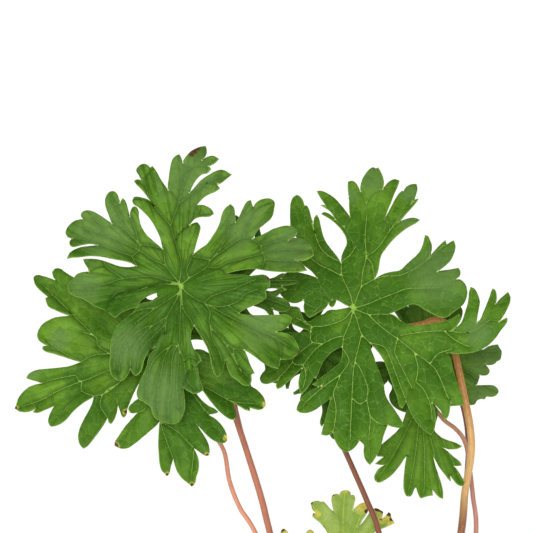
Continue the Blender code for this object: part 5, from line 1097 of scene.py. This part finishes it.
def build_stalk(leaf):
    """One leaf stalk along the path of its solid: swollen a little at both ends."""
    hub, facing = blade_hub(leaf, leaf_ribs(leaf))
    start = hub - facing * BLADE
    neck = hub - facing * 0.0045
    foot_x, foot_y = leaf["foot"]
    above = Vector((foot_x, foot_y, SOIL_TOP + 0.010))
    if "path" in leaf:
        guides = [neck] + [photo_point(*point) for point in leaf["path"]]
    else:
        bow = neck - facing * 0.008
        guides = [neck, bow.lerp(above, 0.12), neck.lerp(above, 0.50) - facing * 0.006]
    path = [start, start.lerp(neck, 0.5)] + rounded(guides + [above])
    path += [Vector((foot_x, foot_y, height)) for height in (SOIL_TOP + 0.0045, SOIL_TOP - STALK_FOOT)]
    curve = bpy.data.curves.new("stem_" + leaf["name"], "CURVE")
    curve.dimensions = "3D"
    curve.bevel_depth = leaf["stalk"]
    curve.bevel_resolution = 5
    curve.use_fill_caps = True
    spline = curve.splines.new("POLY")
    spline.points.add(len(path) - 1)
    for index, point in enumerate(path):
        share = index / (len(path) - 1)
        wave = 0.02 * math.sin(23.0 * share + 5.0 * foot_x * 1000) + 0.015 * math.sin(61.0 * share)
        swell = 0.18 * math.exp(-((share / 0.035) ** 2))
        spline.points[index].co = (*point, 1.0)
        spline.points[index].radius = min(0.74 + 0.18 * share + wave * 0.6 + swell, 0.99)
    spline.use_smooth = True
    skin = stalk_skin(leaf["colour_stalk"], neck.z, SOIL_TOP)
    new_piece(curve.name, curve, [skin], ["stalk_" + leaf["name"]])


class Shade:
    """The nodes of one material, put together by short calls."""

    def __init__(self, name, roughness):
        self.material = bpy.data.materials.new(name)
        self.material.use_nodes = True
        self.tree = self.material.node_tree
        self.shader = self.tree.nodes["Principled BSDF"]
        self.paint = None
        self.set("Roughness", roughness)
        self.set("Specular IOR Level", 0.4)

    def feed(self, socket, value):
        if hasattr(value, "links"):
            self.tree.links.new(value, socket)
        else:
            socket.default_value = value

    def set(self, name, value):
        self.feed(self.shader.inputs[name], value)

    def node(self, kind, output, values, **settings):
        """The output of a new node with these settings and inputs."""
        node = self.tree.nodes.new("ShaderNode" + kind)
        for key, value in settings.items():
            setattr(node, key, value)
        for key, value in values.items():
            self.feed(node.inputs[key], value)
        return node.outputs[output]

    def attribute(self, name, output="Fac"):
        return self.node("Attribute", output, {}, attribute_name=name)

    def place(self):
        return self.node("TexCoord", "Object", {})

    def height(self):
        return self.node("SeparateXYZ", "Z", {0: self.place()})

    def scaled(self, vector, scale):
        return self.node("VectorMath", 0, {0: vector, 1: scale}, operation="MULTIPLY")

    def wander(self, place):
        """The place moved about by a noise, so that what it places isn't regular."""
        amount = (1.6, 1.6, 1.6)
        moved = self.noise(place, 0.35, 2.0, "Color")
        return self.node("VectorMath", 0, {0: moved, 1: amount, 2: place}, operation="MULTIPLY_ADD")

    def sum(self, kind, a, b):
        return self.node("Math", 0, {0: a, 1: b}, operation=kind)

    def plus(self, a, b):
        return self.sum("ADD", a, b)

    def times(self, first, *others):
        for other in others:
            first = self.sum("MULTIPLY", first, other)
        return first

    def fade(self, value, start, end, low=0.0, high=1.0):
        """Runs smoothly from low at start to high at end."""
        if start > end:
            start, end, low, high = end, start, high, low
        limits = {"Value": value, "From Min": start, "From Max": end, "To Min": low, "To Max": high}
        return self.node("MapRange", "Result", limits, interpolation_type="SMOOTHSTEP")

    def noise(self, vector, scale, detail=2.0, output="Fac"):
        return self.node("TexNoise", output, {"Vector": vector, "Scale": scale, "Detail": detail})

    def rays(self, place, hub_mm):
        """A noise drawn out along the lines from the leaf's hub, as its pleats and fine veins run."""
        flat = self.scaled(place, (1.0, 1.0, 0.0))
        turn = self.node("VectorMath", 0, {0: flat}, operation="NORMALIZE")
        turn = self.scaled(turn, (RAY_COUNT, RAY_COUNT, 0.0))
        out = self.node("CombineXYZ", 0, {"Z": self.times(hub_mm, RAY_STRETCH)})
        return self.noise(self.node("VectorMath", 0, {0: turn, 1: out}, operation="ADD"), 1.0, 3.0)

    def cells(self, vector, scale, feature="DISTANCE_TO_EDGE", output="Distance"):
        return self.node("TexVoronoi", output, {"Vector": vector, "Scale": scale}, feature=feature)

    def mix(self, amount, a, b):
        a, b = ((*value, 1.0) if isinstance(value, tuple) else value for value in (a, b))
        return self.node("Mix", 2, {0: amount, 6: a, 7: b}, data_type="RGBA")

    def cover(self, amount, colour):
        """Lays a colour over what is there, as strongly as amount says."""
        self.paint = self.mix(amount, self.paint, colour)

    def done(self, relief, distance, strength):
        """The material, with its colour and this relief."""
        self.set("Base Color", self.paint)
        bump = {"Height": relief, "Distance": distance, "Strength": strength}
        self.set("Normal", self.node("Bump", "Normal", bump))
        return self.material


def tint(colour, *factors):
    """The colour times a factor for each channel, or times one for all."""
    factors = factors if len(factors) == 3 else factors * 3
    return tuple(min(1.0, channel * factor) for channel, factor in zip(colour, factors))


def leaf_top(name):
    """The upper side: grooves and pleats in painted shade and sheen, pale net veins, a pale rim, dry tips.
    """
    green, groove_shade, vein_colour, painted_sheen = LEAF_COLOURS[name]
    darker = tint(green, 0.50, 0.64, 0.50)
    shade = Shade(name, 0.5)
    place = shade.attribute("leaf_mm", "Vector")
    marks = ("hub_mm", "vein_mm", "twig_mm", "pale_veins")
    hub_mm, vein_mm, twig_mm, pale_share = (shade.attribute(each) for each in marks)
    fine = shade.noise(place, 0.9, 3.0)
    grain = shade.noise(place, 5.0, 2.0)
    broad = shade.noise(place, 0.09, 2.0)
    # Tone: partly the leaf's own, partly painted light and shade
    tone_and_light = shade.plus(shade.fade(broad, 0.3, 0.7, 0.25, 0.60), shade.attribute("tone_and_light"))
    shade.paint = shade.mix(shade.fade(tone_and_light, 0.0, 1.0), darker, tint(green, 1.75, 1.48, 2.60))
    shade.cover(shade.fade(fine, 0.35, 0.75, 0.0, 0.22), darker)
    ray = shade.rays(place, hub_mm)
    pleats = shade.times(shade.fade(pale_share, 0.95, 0.4, 0.25, 1.0), shade.fade(hub_mm, 2.0, 9.0))
    # Painted shade in the folds of the pleats and painted grey sheen on their crests, besides their bump
    shade.cover(shade.times(shade.fade(ray, 0.51, 0.62, 0.0, 0.62), pleats), groove_shade)
    shade.cover(shade.times(shade.fade(ray, 0.48, 0.38, 0.0, 0.50), pleats), painted_sheen)
    # Painted shade in the sunken veins
    vein_shade = shade.fade(pale_share, 0.95, 0.6, 0.32, 0.62)
    shade.cover(shade.times(shade.fade(vein_mm, 2.0, 0.2), vein_shade), groove_shade)
    # Painted shade along the lower side of each vein and twig, as if the light came from above
    broader = shade.fade(pale_share, 0.95, 0.4, 1.0, 0.66)
    for side, gap, far, near in (("vein_side", vein_mm, 0.62, 0.12), ("twig_side", twig_mm, 0.70, 0.08)):
        below = shade.fade(shade.attribute(side), 0.5, -0.6, 0.35, 1.0)
        shade.cover(shade.times(shade.fade(shade.times(gap, broader), far, near, 0.0, 0.92), below), groove_shade)
    wander = shade.wander(place)
    net = shade.cells(wander, 0.30)
    small_net = shade.cells(wander, 0.95)
    # Painted shade: each cell of the net darkened by its own amount, as if its facet were lit at its own
    # angle
    shade.cover(shade.fade(shade.cells(wander, 0.30, "F1", "Color"), 0.15, 0.85, 0.0, 0.34), groove_shade)
    net_line = shade.times(shade.fade(net, 0.034, 0.008), shade.fade(fine, 0.34, 0.62, 0.10, 1.0))
    shade.cover(shade.times(net_line, pale_share, 0.26), vein_colour)
    along = shade.fade(fine, 0.28, 0.62, 0.45, 1.0)
    thread = shade.times(shade.fade(vein_mm, 0.15, 0.04), along, pale_share)
    near_hub = shade.times(shade.fade(vein_mm, 0.20, 0.06), shade.fade(hub_mm, 9.0, 2.0, 0.0, 0.60))
    shade.cover(shade.sum("MAXIMUM", thread, near_hub), vein_colour)
    twig = shade.fade(twig_mm, 0.12, 0.03, 0.0, 0.55)
    shade.cover(shade.times(twig, along, pale_share, pale_share), vein_colour)
    # Painted grey sheen where the hairs catch the light
    sheen_mask = shade.fade(shade.attribute("painted_sheen"), 0.0, 0.8)
    shade.cover(shade.times(sheen_mask, shade.fade(fine, 0.2, 0.7, 0.45, 0.75)), painted_sheen)
    shade.cover(shade.fade(shade.attribute("edge_mm"), 0.30, 0.05, 0.0, 0.50), vein_colour)
    # Painted shadow on the lower lobe along each fold
    shade.cover(shade.fade(shade.attribute("fold_shadow"), 0.05, 0.9, 0.0, 0.85), groove_shade)
    shade.cover(shade.fade(hub_mm, 1.4, 0.4, 0.0, 0.85), vein_colour)
    shade.cover(shade.fade(shade.attribute("dot"), 0.15, 0.75, 0.0, 0.85), VEIN_DOT)
    pale = shade.times(shade.attribute("pale"), shade.fade(fine, 0.25, 0.65, 0.6, 1.4))
    shade.cover(shade.fade(pale, 0.15, 0.85, 0.0, 0.9), YELLOWED)
    dry = shade.times(shade.attribute("dry"), shade.fade(fine, 0.25, 0.65, 0.7, 1.4))
    brown = shade.mix(shade.fade(grain, 0.40, 0.62), DRY_BROWN, DRY_TAN)
    brown = shade.mix(shade.fade(dry, 0.35, 0.8), DRY_TAN, brown)
    shade.cover(shade.fade(dry, 0.18, 0.36), brown)
    shade.set("Roughness", shade.fade(grain, 0.3, 0.7, 0.46, 0.62))
    shade.set("Specular IOR Level", 0.10)
    shade.set("Sheen Weight", 0.01)
    shade.set("Sheen Roughness", 0.45)
    fields = shade.fade(net, 0.0, 0.30, 0.0, 0.75)
    raised = shade.plus(fields, shade.fade(small_net, 0.0, 0.35, 0.0, 0.22))
    raised = shade.plus(raised, shade.times(grain, 0.30))
    return shade.done(shade.sum("SUBTRACT", raised, shade.times(ray, pleats, 1.8)), 0.00022, 0.75)


def leaf_under(name):
    """The underside: paler and matt, with its veins standing out."""
    shade = Shade(name + "_underside", 0.62)
    place = shade.attribute("leaf_mm", "Vector")
    pale = tuple((channel + under) * 0.5 for channel, under in zip(LEAF_COLOURS[name][0], UNDERSIDE))
    light = tint(UNDERSIDE, 1.5)
    shade.paint = shade.mix(shade.fade(shade.noise(place, 0.9, 3.0), 0.3, 0.7), pale, UNDERSIDE)
    net = shade.cells(shade.wander(place), 0.30)
    shade.cover(shade.fade(net, 0.06, 0.01, 0.0, 0.45), light)
    any_vein = shade.sum("MINIMUM", shade.attribute("vein_mm"), shade.attribute("twig_mm"))
    shade.cover(shade.fade(any_vein, 0.40, 0.12, 0.0, 0.75), light)
    shade.cover(shade.fade(shade.attribute("dry"), 0.2, 0.4), DRY_TAN)
    raised = shade.plus(shade.fade(any_vein, 0.55, 0.10), shade.fade(net, 0.10, 0.0, 0.0, 0.5))
    return shade.done(raised, 0.00030, 0.8)


def stalk_skin(name, top, foot):
    """A stalk: coloured by its height, streaked along its length and finely speckled."""
    upper, middle, lower = STALK_COLOURS[name]
    shade = Shade(name, 0.45)
    place = shade.place()
    height = shade.height()
    spans = [foot + (top - foot) * share for share in STALK_SPANS.get(name, STALK_SPAN)]
    shade.paint = shade.mix(shade.fade(height, *spans[:2]), lower, middle)
    shade.cover(shade.fade(height, *spans[2:]), upper)
    streak = shade.noise(shade.scaled(place, (1400.0, 1400.0, 90.0)), 1.0, 3.0)
    speck = shade.noise(shade.scaled(place, (1500.0, 1500.0, 1000.0)), 1.0, 2.0)
    light = tuple(min(1.0, channel * 1.35 + 0.012) for channel in middle)
    shade.cover(shade.fade(streak, 0.50, 0.75, 0.0, 0.45), light)
    shade.cover(shade.fade(streak, 0.46, 0.25, 0.0, 0.50), tint(middle, 0.55))
    shade.cover(shade.fade(speck, 0.62, 0.72, 0.0, 0.35), light)
    shade.set("Roughness", shade.fade(speck, 0.3, 0.7, 0.28, 0.46))
    shade.set("Specular IOR Level", 0.45)
    return shade.done(shade.plus(streak, shade.times(speck, 0.5)), 0.00020, 0.6)


def pot_plastic():
    """Moulded plastic with a fine grain, dust towards the foot, splashes of soil and a rubbed rim."""
    shade = Shade("pot_clay", 0.6)
    place = shade.place()
    height = shade.height()
    broad = shade.noise(place, 26.0, 3.0)
    lighter = tuple(min(1.0, channel * 1.18 + 0.01) for channel in POT_COLOUR)
    shade.paint = shade.mix(shade.fade(broad, 0.38, 0.64), tint(POT_COLOUR, 0.80), lighter)
    patches = shade.fade(shade.noise(place, 90.0, 4.0), 0.42, 0.62)
    shade.cover(shade.times(shade.fade(height, 0.030, 0.0), patches, 0.55), DUST_COLOUR)
    splash = shade.fade(shade.noise(place, 420.0, 2.0), 0.66, 0.72, 0.0, 0.45)
    splash = shade.times(splash, shade.fade(height, POT_HEIGHT - 0.030, POT_HEIGHT - 0.004))
    shade.cover(splash, SOIL_COLOUR)
    rubbed = shade.fade(height, POT_HEIGHT - 0.0012, POT_HEIGHT - 0.0002)
    shade.cover(shade.times(rubbed, shade.fade(broad, 0.4, 0.6, 0.2, 0.6)), RUBBED_COLOUR)
    shade.set("Roughness", shade.fade(broad, 0.3, 0.7, 0.50, 0.66))
    return shade.done(shade.noise(place, 1400.0, 2.0), 0.00012, 0.5)


def crumbly(name, colour, low, high, scale, roughness=0.95):
    """Soil, bark or grit: three tones in small patches, with a rough grain."""
    dark = tint(colour, low)
    shade = Shade(name, roughness)
    place = shade.place()
    patch = shade.noise(place, scale, 4.0)
    grain = shade.noise(place, scale * 5.0, 3.0)
    shade.paint = shade.mix(shade.fade(patch, 0.38, 0.55), dark, colour)
    shade.cover(shade.fade(patch, 0.58, 0.72, 0.0, 0.8), tint(colour, high))
    shade.cover(shade.fade(grain, 0.45, 0.70, 0.0, 0.35), dark)
    return shade.done(shade.plus(patch, shade.times(grain, 0.6)), 0.0006, 0.9)


def turned(name, profile, steps, move=None):
    """A mesh turned round the upright axis from its profile, with its points moved if need be."""
    points = [(0.0, 0.0, profile[0][1])]
    for radius, height in profile[1:-1]:
        for step in range(steps):
            turn = 2 * math.pi * step / steps
            points.append((radius * math.cos(turn), radius * math.sin(turn), height))
    points.append((0.0, 0.0, profile[-1][1]))
    final = len(points) - 1 - steps
    faces = []
    for step in range(steps):
        after = (step + 1) % steps
        faces.append((0, 1 + step, 1 + after))
        for near in range(1, final, steps):
            far = near + steps
            faces.append((near + step, far + step, far + after, near + after))
        faces.append((final + step, len(points) - 1, final + after))
    if move:
        points = [move(index, *point) for index, point in enumerate(points)]
    mesh = bpy.data.meshes.new(name)
    mesh.from_pydata(points, [], faces)
    return mesh


def opened(mesh):
    """The mesh opened for editing, with its faces turned outwards."""
    work = bmesh.new()
    work.from_mesh(mesh)
    bmesh.ops.recalc_face_normals(work, faces=work.faces)
    return work


def closed(work, mesh):
    work.to_mesh(mesh)
    work.free()


def outer(height):
    """The radius of the pot's outside at this height."""
    return POT_BASE_R + POT_TAPER * height


def pot_profile():
    """The pot's profile from the middle of its floor up the inside, over the rim and down the outside."""
    rim = POT_HEIGHT - RIM_DROP
    lip = outer(POT_HEIGHT) + RIM_OUT
    inner = outer(POT_FLOOR) - POT_WALL
    profile = [(POT_BASE_R * share, POT_FLOOR) for share in (0.0, 0.3, 0.6, 0.9)]
    inside_foot = ((0.0009, 0.0), (0.0002, 0.0003), (0.0, 0.0010))
    profile += [(inner - inwards, POT_FLOOR + rise) for inwards, rise in inside_foot]
    for step in range(1, 12):
        height = POT_FLOOR + (POT_HEIGHT - POT_FLOOR - 0.001) * step / 12
        profile.append((outer(height) - POT_WALL, height))
    edge = outer(POT_HEIGHT) - POT_WALL + 0.0002
    for step in range(7):
        turn = math.pi * (1.0 - step / 6.0)
        radius = (edge + lip) / 2 + (lip - edge) / 2 * math.cos(turn)
        profile.append((radius, POT_HEIGHT - 0.0010 + 0.0010 * math.sin(turn)))
    profile += [(lip, POT_HEIGHT - 0.0030), (lip - 0.0003, POT_HEIGHT - 0.0034)]
    rolled = ((0.0003, 0.0026), (0.0002, 0.0022), (0.0003, 0.0006), (0.0008, 0.0001))
    profile += [(lip - inwards, rim + rise) for inwards, rise in rolled]
    profile += [(outer(rim) + 0.0006, rim), (outer(rim), rim - 0.0006)]
    for step in range(1, 14):
        height = rim - (rim - 0.006) * step / 14
        profile.append((outer(height), height))
    foot = ((0.0062, 0.0), (0.0058, 0.0003), (0.0050, 0.0003), (0.0046, 0.0), (0.0018, 0.0))
    profile += [(outer(height) - inwards, height) for height, inwards in foot]
    below = ((0.0004, 0.0005), (0.0014, 0.0), (0.0040, 0.0), (0.0048, 0.0006))
    profile += [(POT_BASE_R - inwards, height) for inwards, height in below]
    return profile + [(POT_BASE_R * share, 0.0006) for share in (0.6, 0.3, 0.0)]


def build_pot():
    """The pot: a rolled rim, a tapered wall, a low foot ring and drain holes."""
    mesh = turned("pot_shell", pot_profile(), POT_STEPS)
    mesh.shade_smooth()
    pot = new_piece("pot_shell", mesh, [pot_plastic()], ["pot"])
    drains = bpy.data.meshes.new("drains")
    work = bmesh.new()
    for index in range(DRAIN_COUNT):
        turn = 2 * math.pi * (index + 0.5) / DRAIN_COUNT
        made = bmesh.ops.create_cone(
            work, cap_ends=True, segments=32, radius1=DRAIN_R, radius2=DRAIN_R, depth=POT_FLOOR + 0.004
        )
        place = (DRAIN_RING * math.cos(turn), DRAIN_RING * math.sin(turn), POT_FLOOR / 2)
        bmesh.ops.translate(work, verts=made["verts"], vec=place)
    closed(work, drains)
    cutter = bpy.data.objects.new("drains", drains)
    bpy.context.collection.objects.link(cutter)
    cutter.hide_render = True
    cutter.hide_viewport = True
    hole = pot.modifiers.new("drains", "BOOLEAN")
    hole.operation = "DIFFERENCE"
    hole.solver = "EXACT"
    hole.object = cutter
    work = opened(mesh)
    for edge in work.edges:
        edge.smooth = not (len(edge.link_faces) == 2 and edge.calc_face_angle() > math.radians(40))
    closed(work, mesh)


def soil_height(x, y):
    """The soil's loose surface."""
    radius = math.hypot(x, y)
    height = SOIL_TOP - 0.0006 - SOIL_DOME * min(1.0, (radius / 0.060) ** 2)
    for amount, level, scale in ((0.0011, 0.3, 120.0), (0.0007, 1.7, 330.0), (0.0004, 4.1, 900.0)):
        height += amount * noise.noise(Vector((x, y, level)) * scale)
    for leaf in LEAVES:
        foot = math.hypot(x - leaf["foot"][0], y - leaf["foot"][1])
        height += 0.0009 * math.exp(-((foot / 0.0035) ** 2))
    return height


def add_crumbs(work, rim_radius):
    """Crumbs of soil (material 0), bark (1) and white grit (2) on the soil, clear of the stalks."""
    draw = random.Random(31)
    for index in range(CRUMBS):
        radius = rim_radius * 0.975 * math.sqrt(draw.random())
        turn = draw.uniform(0, 2 * math.pi)
        x, y = radius * math.cos(turn), radius * math.sin(turn)
        size = 0.0005 + 0.0013 * draw.random() ** 2.2
        kind = draw.random()
        stretch = (draw.uniform(0.7, 1.2), draw.uniform(0.7, 1.2), draw.uniform(0.5, 0.9))
        slot = 0
        if kind > 0.93:
            slot = 2
            size = 0.0006 + 0.0007 * draw.random()
        elif kind > 0.80:
            slot = 1
            size *= 1.25
            stretch = (draw.uniform(1.6, 2.8), draw.uniform(0.5, 0.8), draw.uniform(0.25, 0.45))
        spin = Euler((draw.uniform(-0.5, 0.5), draw.uniform(-0.5, 0.5), draw.uniform(0, 6.28)))
        lift = draw.uniform(0.1, 0.5)
        nearest = min(math.hypot(x - leaf["foot"][0], y - leaf["foot"][1]) for leaf in LEAVES)
        if nearest < 0.0022 + size * 1.5 or radius < 0.0075 + size:
            continue
        if radius + size * max(stretch) > rim_radius - 0.0005:
            continue
        made = bmesh.ops.create_icosphere(work, subdivisions=2 if size > 0.0012 else 1, radius=size)
        seed = Vector((index * 1.7, 0.0, 0.0))
        centre = Vector((x, y, soil_height(x, y) + size * lift * stretch[2]))
        for vert in made["verts"]:
            rough = 1.0 + 0.35 * noise.noise(vert.co / size * 1.3 + seed)
            point = Vector(c * s for c, s in zip(vert.co * rough, stretch))
            point.rotate(spin)
            vert.co = point + centre
        for face in {face for vert in made["verts"] for face in vert.link_faces}:
            face.material_index = slot


def build_soil():
    """The soil: an uneven top under crumbs, bark and grit, and its sides and floor inside the pot."""
    rim_radius = outer(SOIL_TOP - SOIL_DOME) - POT_WALL - FIT
    floor_radius = outer(POT_FLOOR) - POT_WALL - FIT
    profile = [(rim_radius * ring / SOIL_RINGS, 0.0) for ring in range(SOIL_RINGS + 1)]
    for share in (0.0, 0.5, 0.98):
        height = SOIL_TOP - 0.006 - (SOIL_TOP - 0.010) * share
        profile.append((rim_radius + (floor_radius - rim_radius) * share, height))
    profile += [(floor_radius, POT_FLOOR + FIT), (0.0, POT_FLOOR + FIT)]
    surface = 1 + SOIL_RINGS * SOIL_STEPS
    mesh = turned(
        "potting_soil", profile, SOIL_STEPS,
        lambda index, x, y, z: (x, y, soil_height(x, y) if index < surface else z),
    )
    work = opened(mesh)
    add_crumbs(work, rim_radius)
    closed(work, mesh)
    looks = [
        crumbly("soil_dark", SOIL_COLOUR, 0.45, 2.1, 420.0),
        crumbly("bark", BARK_COLOUR, 0.5, 1.8, 300.0, 0.85),
        crumbly("perlite", PERLITE_COLOUR, 0.7, 1.2, 700.0, 0.9),
    ]
    new_piece("potting_soil", mesh, looks, ["soil"])


def knobbly(index, x, y, z):
    """A point of the rootstock, moved in or out by a noise."""
    place = Vector((x, y, z))
    amount = 1.0 + 0.16 * noise.noise(place * 420.0) + 0.07 * noise.noise(place * 1100.0)
    return x * amount, y * amount, z


def build_rootstock():
    """The rootstock: a knobbly brown crown with dry papery scales round the feet of the stalks."""
    rises = (
        (0.0, 0.0085), (0.0014, 0.0084), (0.0028, 0.0077), (0.0040, 0.0067), (0.0047, 0.0055),
        (0.0050, 0.0040), (0.0053, 0.0025), (0.0058, 0.0012), (0.0060, -0.0002), (0.0059, -0.0040),
        (0.0055, -0.0088), (0.0, -0.0090),
    )
    mesh = turned("rootstock", [(radius, SOIL_TOP + rise) for radius, rise in rises], 48, knobbly)
    work = opened(mesh)
    draw = random.Random(12)
    for index in range(SCALES):
        turn = index * SCALE_TURN + draw.uniform(-0.2, 0.2)
        base_z = SOIL_TOP + 0.0003 + 0.0068 * (index % 17) / 17.0
        base_r = 0.0056 - 0.0030 * max(0.0, (base_z - SOIL_TOP - 0.003) / 0.0055)
        length = draw.uniform(0.0045, 0.0080)
        width = draw.uniform(0.0011, 0.0018)
        lean = draw.uniform(0.25, 0.75)
        add_scale(work, turn, base_r, base_z, length, width, lean)
    closed(work, mesh)
    mesh.shade_smooth()
    looks = [
        crumbly("crown_brown", CROWN_COLOUR, 0.5, 1.9, 500.0, 0.85),
        crumbly("dry_scales", SCALE_COLOUR, 0.55, 1.7, 380.0, 0.7),
    ]
    new_piece("rootstock", mesh, looks, ["crown"])


def add_scale(work, turn, base_r, base_z, length, width, lean):
    """A papery scale: a narrow pointed blade that leaves the rootstock and bends outwards."""
    out = Vector((math.cos(turn), math.sin(turn), 0.0))
    side = Vector((-math.sin(turn), math.cos(turn), 0.0))
    thick = out * 0.00016
    rows = []
    for step in range(7):
        share = step / 6.0
        half = width * (1.0 - share) ** 0.7 * (0.75 + 0.6 * share)
        height = base_z + length * share * (1.0 - 0.35 * lean * share)
        middle = out * (base_r + length * lean * share ** 1.5) + Vector((0.0, 0.0, height))
        cup = 0.0004 * (1.0 - share)
        rows.append([middle + side * half * at - out * (cup * abs(at)) for at in (-1.0, 0.0, 1.0)])
    front = [[work.verts.new(point + thick) for point in row] for row in rows]
    back = [[work.verts.new(point - thick) for point in row] for row in rows]
    rings = []
    for low in range(6):
        for near, far in ((0, 1), (1, 2)):
            rings.append((front[low][near], front[low][far], front[low + 1][far], front[low + 1][near]))
            rings.append((back[low][far], back[low][near], back[low + 1][near], back[low + 1][far]))
        for column, order in ((0, 1), (2, -1)):
            ring = (front[low][column], front[low + 1][column], back[low + 1][column], back[low][column])
            rings.append(ring[::order])
    for row, order in ((0, -1), (6, 1)):
        for near, far in ((0, 1), (1, 2)):
            ring = (front[row][near], front[row][far], back[row][far], back[row][near])
            rings.append(ring[::order])
    for ring in rings:
        work.faces.new(ring).material_index = 1


def build_floor():
    """A wide white floor, which glows a little so that it stays white under the leaves."""
    mesh = bpy.data.meshes.new("floor")
    work = bmesh.new()
    bmesh.ops.create_grid(work, x_segments=8, y_segments=8, size=7.0)
    closed(work, mesh)
    floor = bpy.data.objects.new("floor", mesh)
    bpy.context.collection.objects.link(floor)
    shade = Shade("floor_white", 0.9)
    speck = shade.noise(shade.place(), 60.0, 2.0)
    shade.set("Base Color", shade.mix(speck, (0.955, 0.955, 0.955), (0.975, 0.975, 0.975)))
    shade.set("Specular IOR Level", 0.1)
    shade.set("Emission Color", (1.0, 1.0, 1.0, 1.0))
    shade.set("Emission Strength", FLOOR_GLOW)
    mesh.materials.append(shade.material)


def build_light():
    """Soft light from above and in front, and an even pale sky."""
    world = bpy.data.worlds.new("studio")
    bpy.context.scene.world = world
    world.use_nodes = True
    background = world.node_tree.nodes["Background"]
    background.inputs["Color"].default_value = (1.0, 1.0, 1.0, 1.0)
    background.inputs["Strength"].default_value = SKY
    lamp = bpy.data.lights.new("soft_sun", "SUN")
    lamp.energy = SUN
    lamp.angle = math.radians(SUN_ANGLE)
    lamp.color = (1.0, 0.985, 0.96)
    sun = bpy.data.objects.new("soft_sun", lamp)
    sun.rotation_euler = (math.radians(SUN_TILT[0]), math.radians(SUN_TILT[1]), 0.0)
    bpy.context.collection.objects.link(sun)
    bpy.context.scene.view_settings.view_transform = "Standard"


def build_camera():
    """The camera of the photograph."""
    centre = (
        ROOT
        - RIGHT * (ROOT_PX[0] - MIDDLE_PX[0]) * PIXEL
        - UP * (MIDDLE_PX[1] - ROOT_PX[1]) * PIXEL
        + OUT * VIEW_DEPTH
    )
    lens = bpy.data.cameras.new("camera")
    lens.angle = 2 * math.atan(PHOTO_SIDE * PIXEL / 2 / VIEW_DISTANCE)
    lens.clip_start = 0.05
    lens.clip_end = 50.0
    camera = bpy.data.objects.new("camera", lens)
    camera.location = centre + OUT * VIEW_DISTANCE
    camera.rotation_euler = (math.pi / 2 - VIEW_ELEVATION, 0.0, 0.0)
    bpy.context.collection.objects.link(camera)
    bpy.context.scene.camera = camera


leaf_materials = {name: (leaf_top(name), leaf_under(name)) for name in LEAF_COLOURS}
build_pot()
build_soil()
build_rootstock()
for leaf in LEAVES:
    build_leaf(leaf)
    build_stalk(leaf)
build_floor()
build_light()
build_camera()
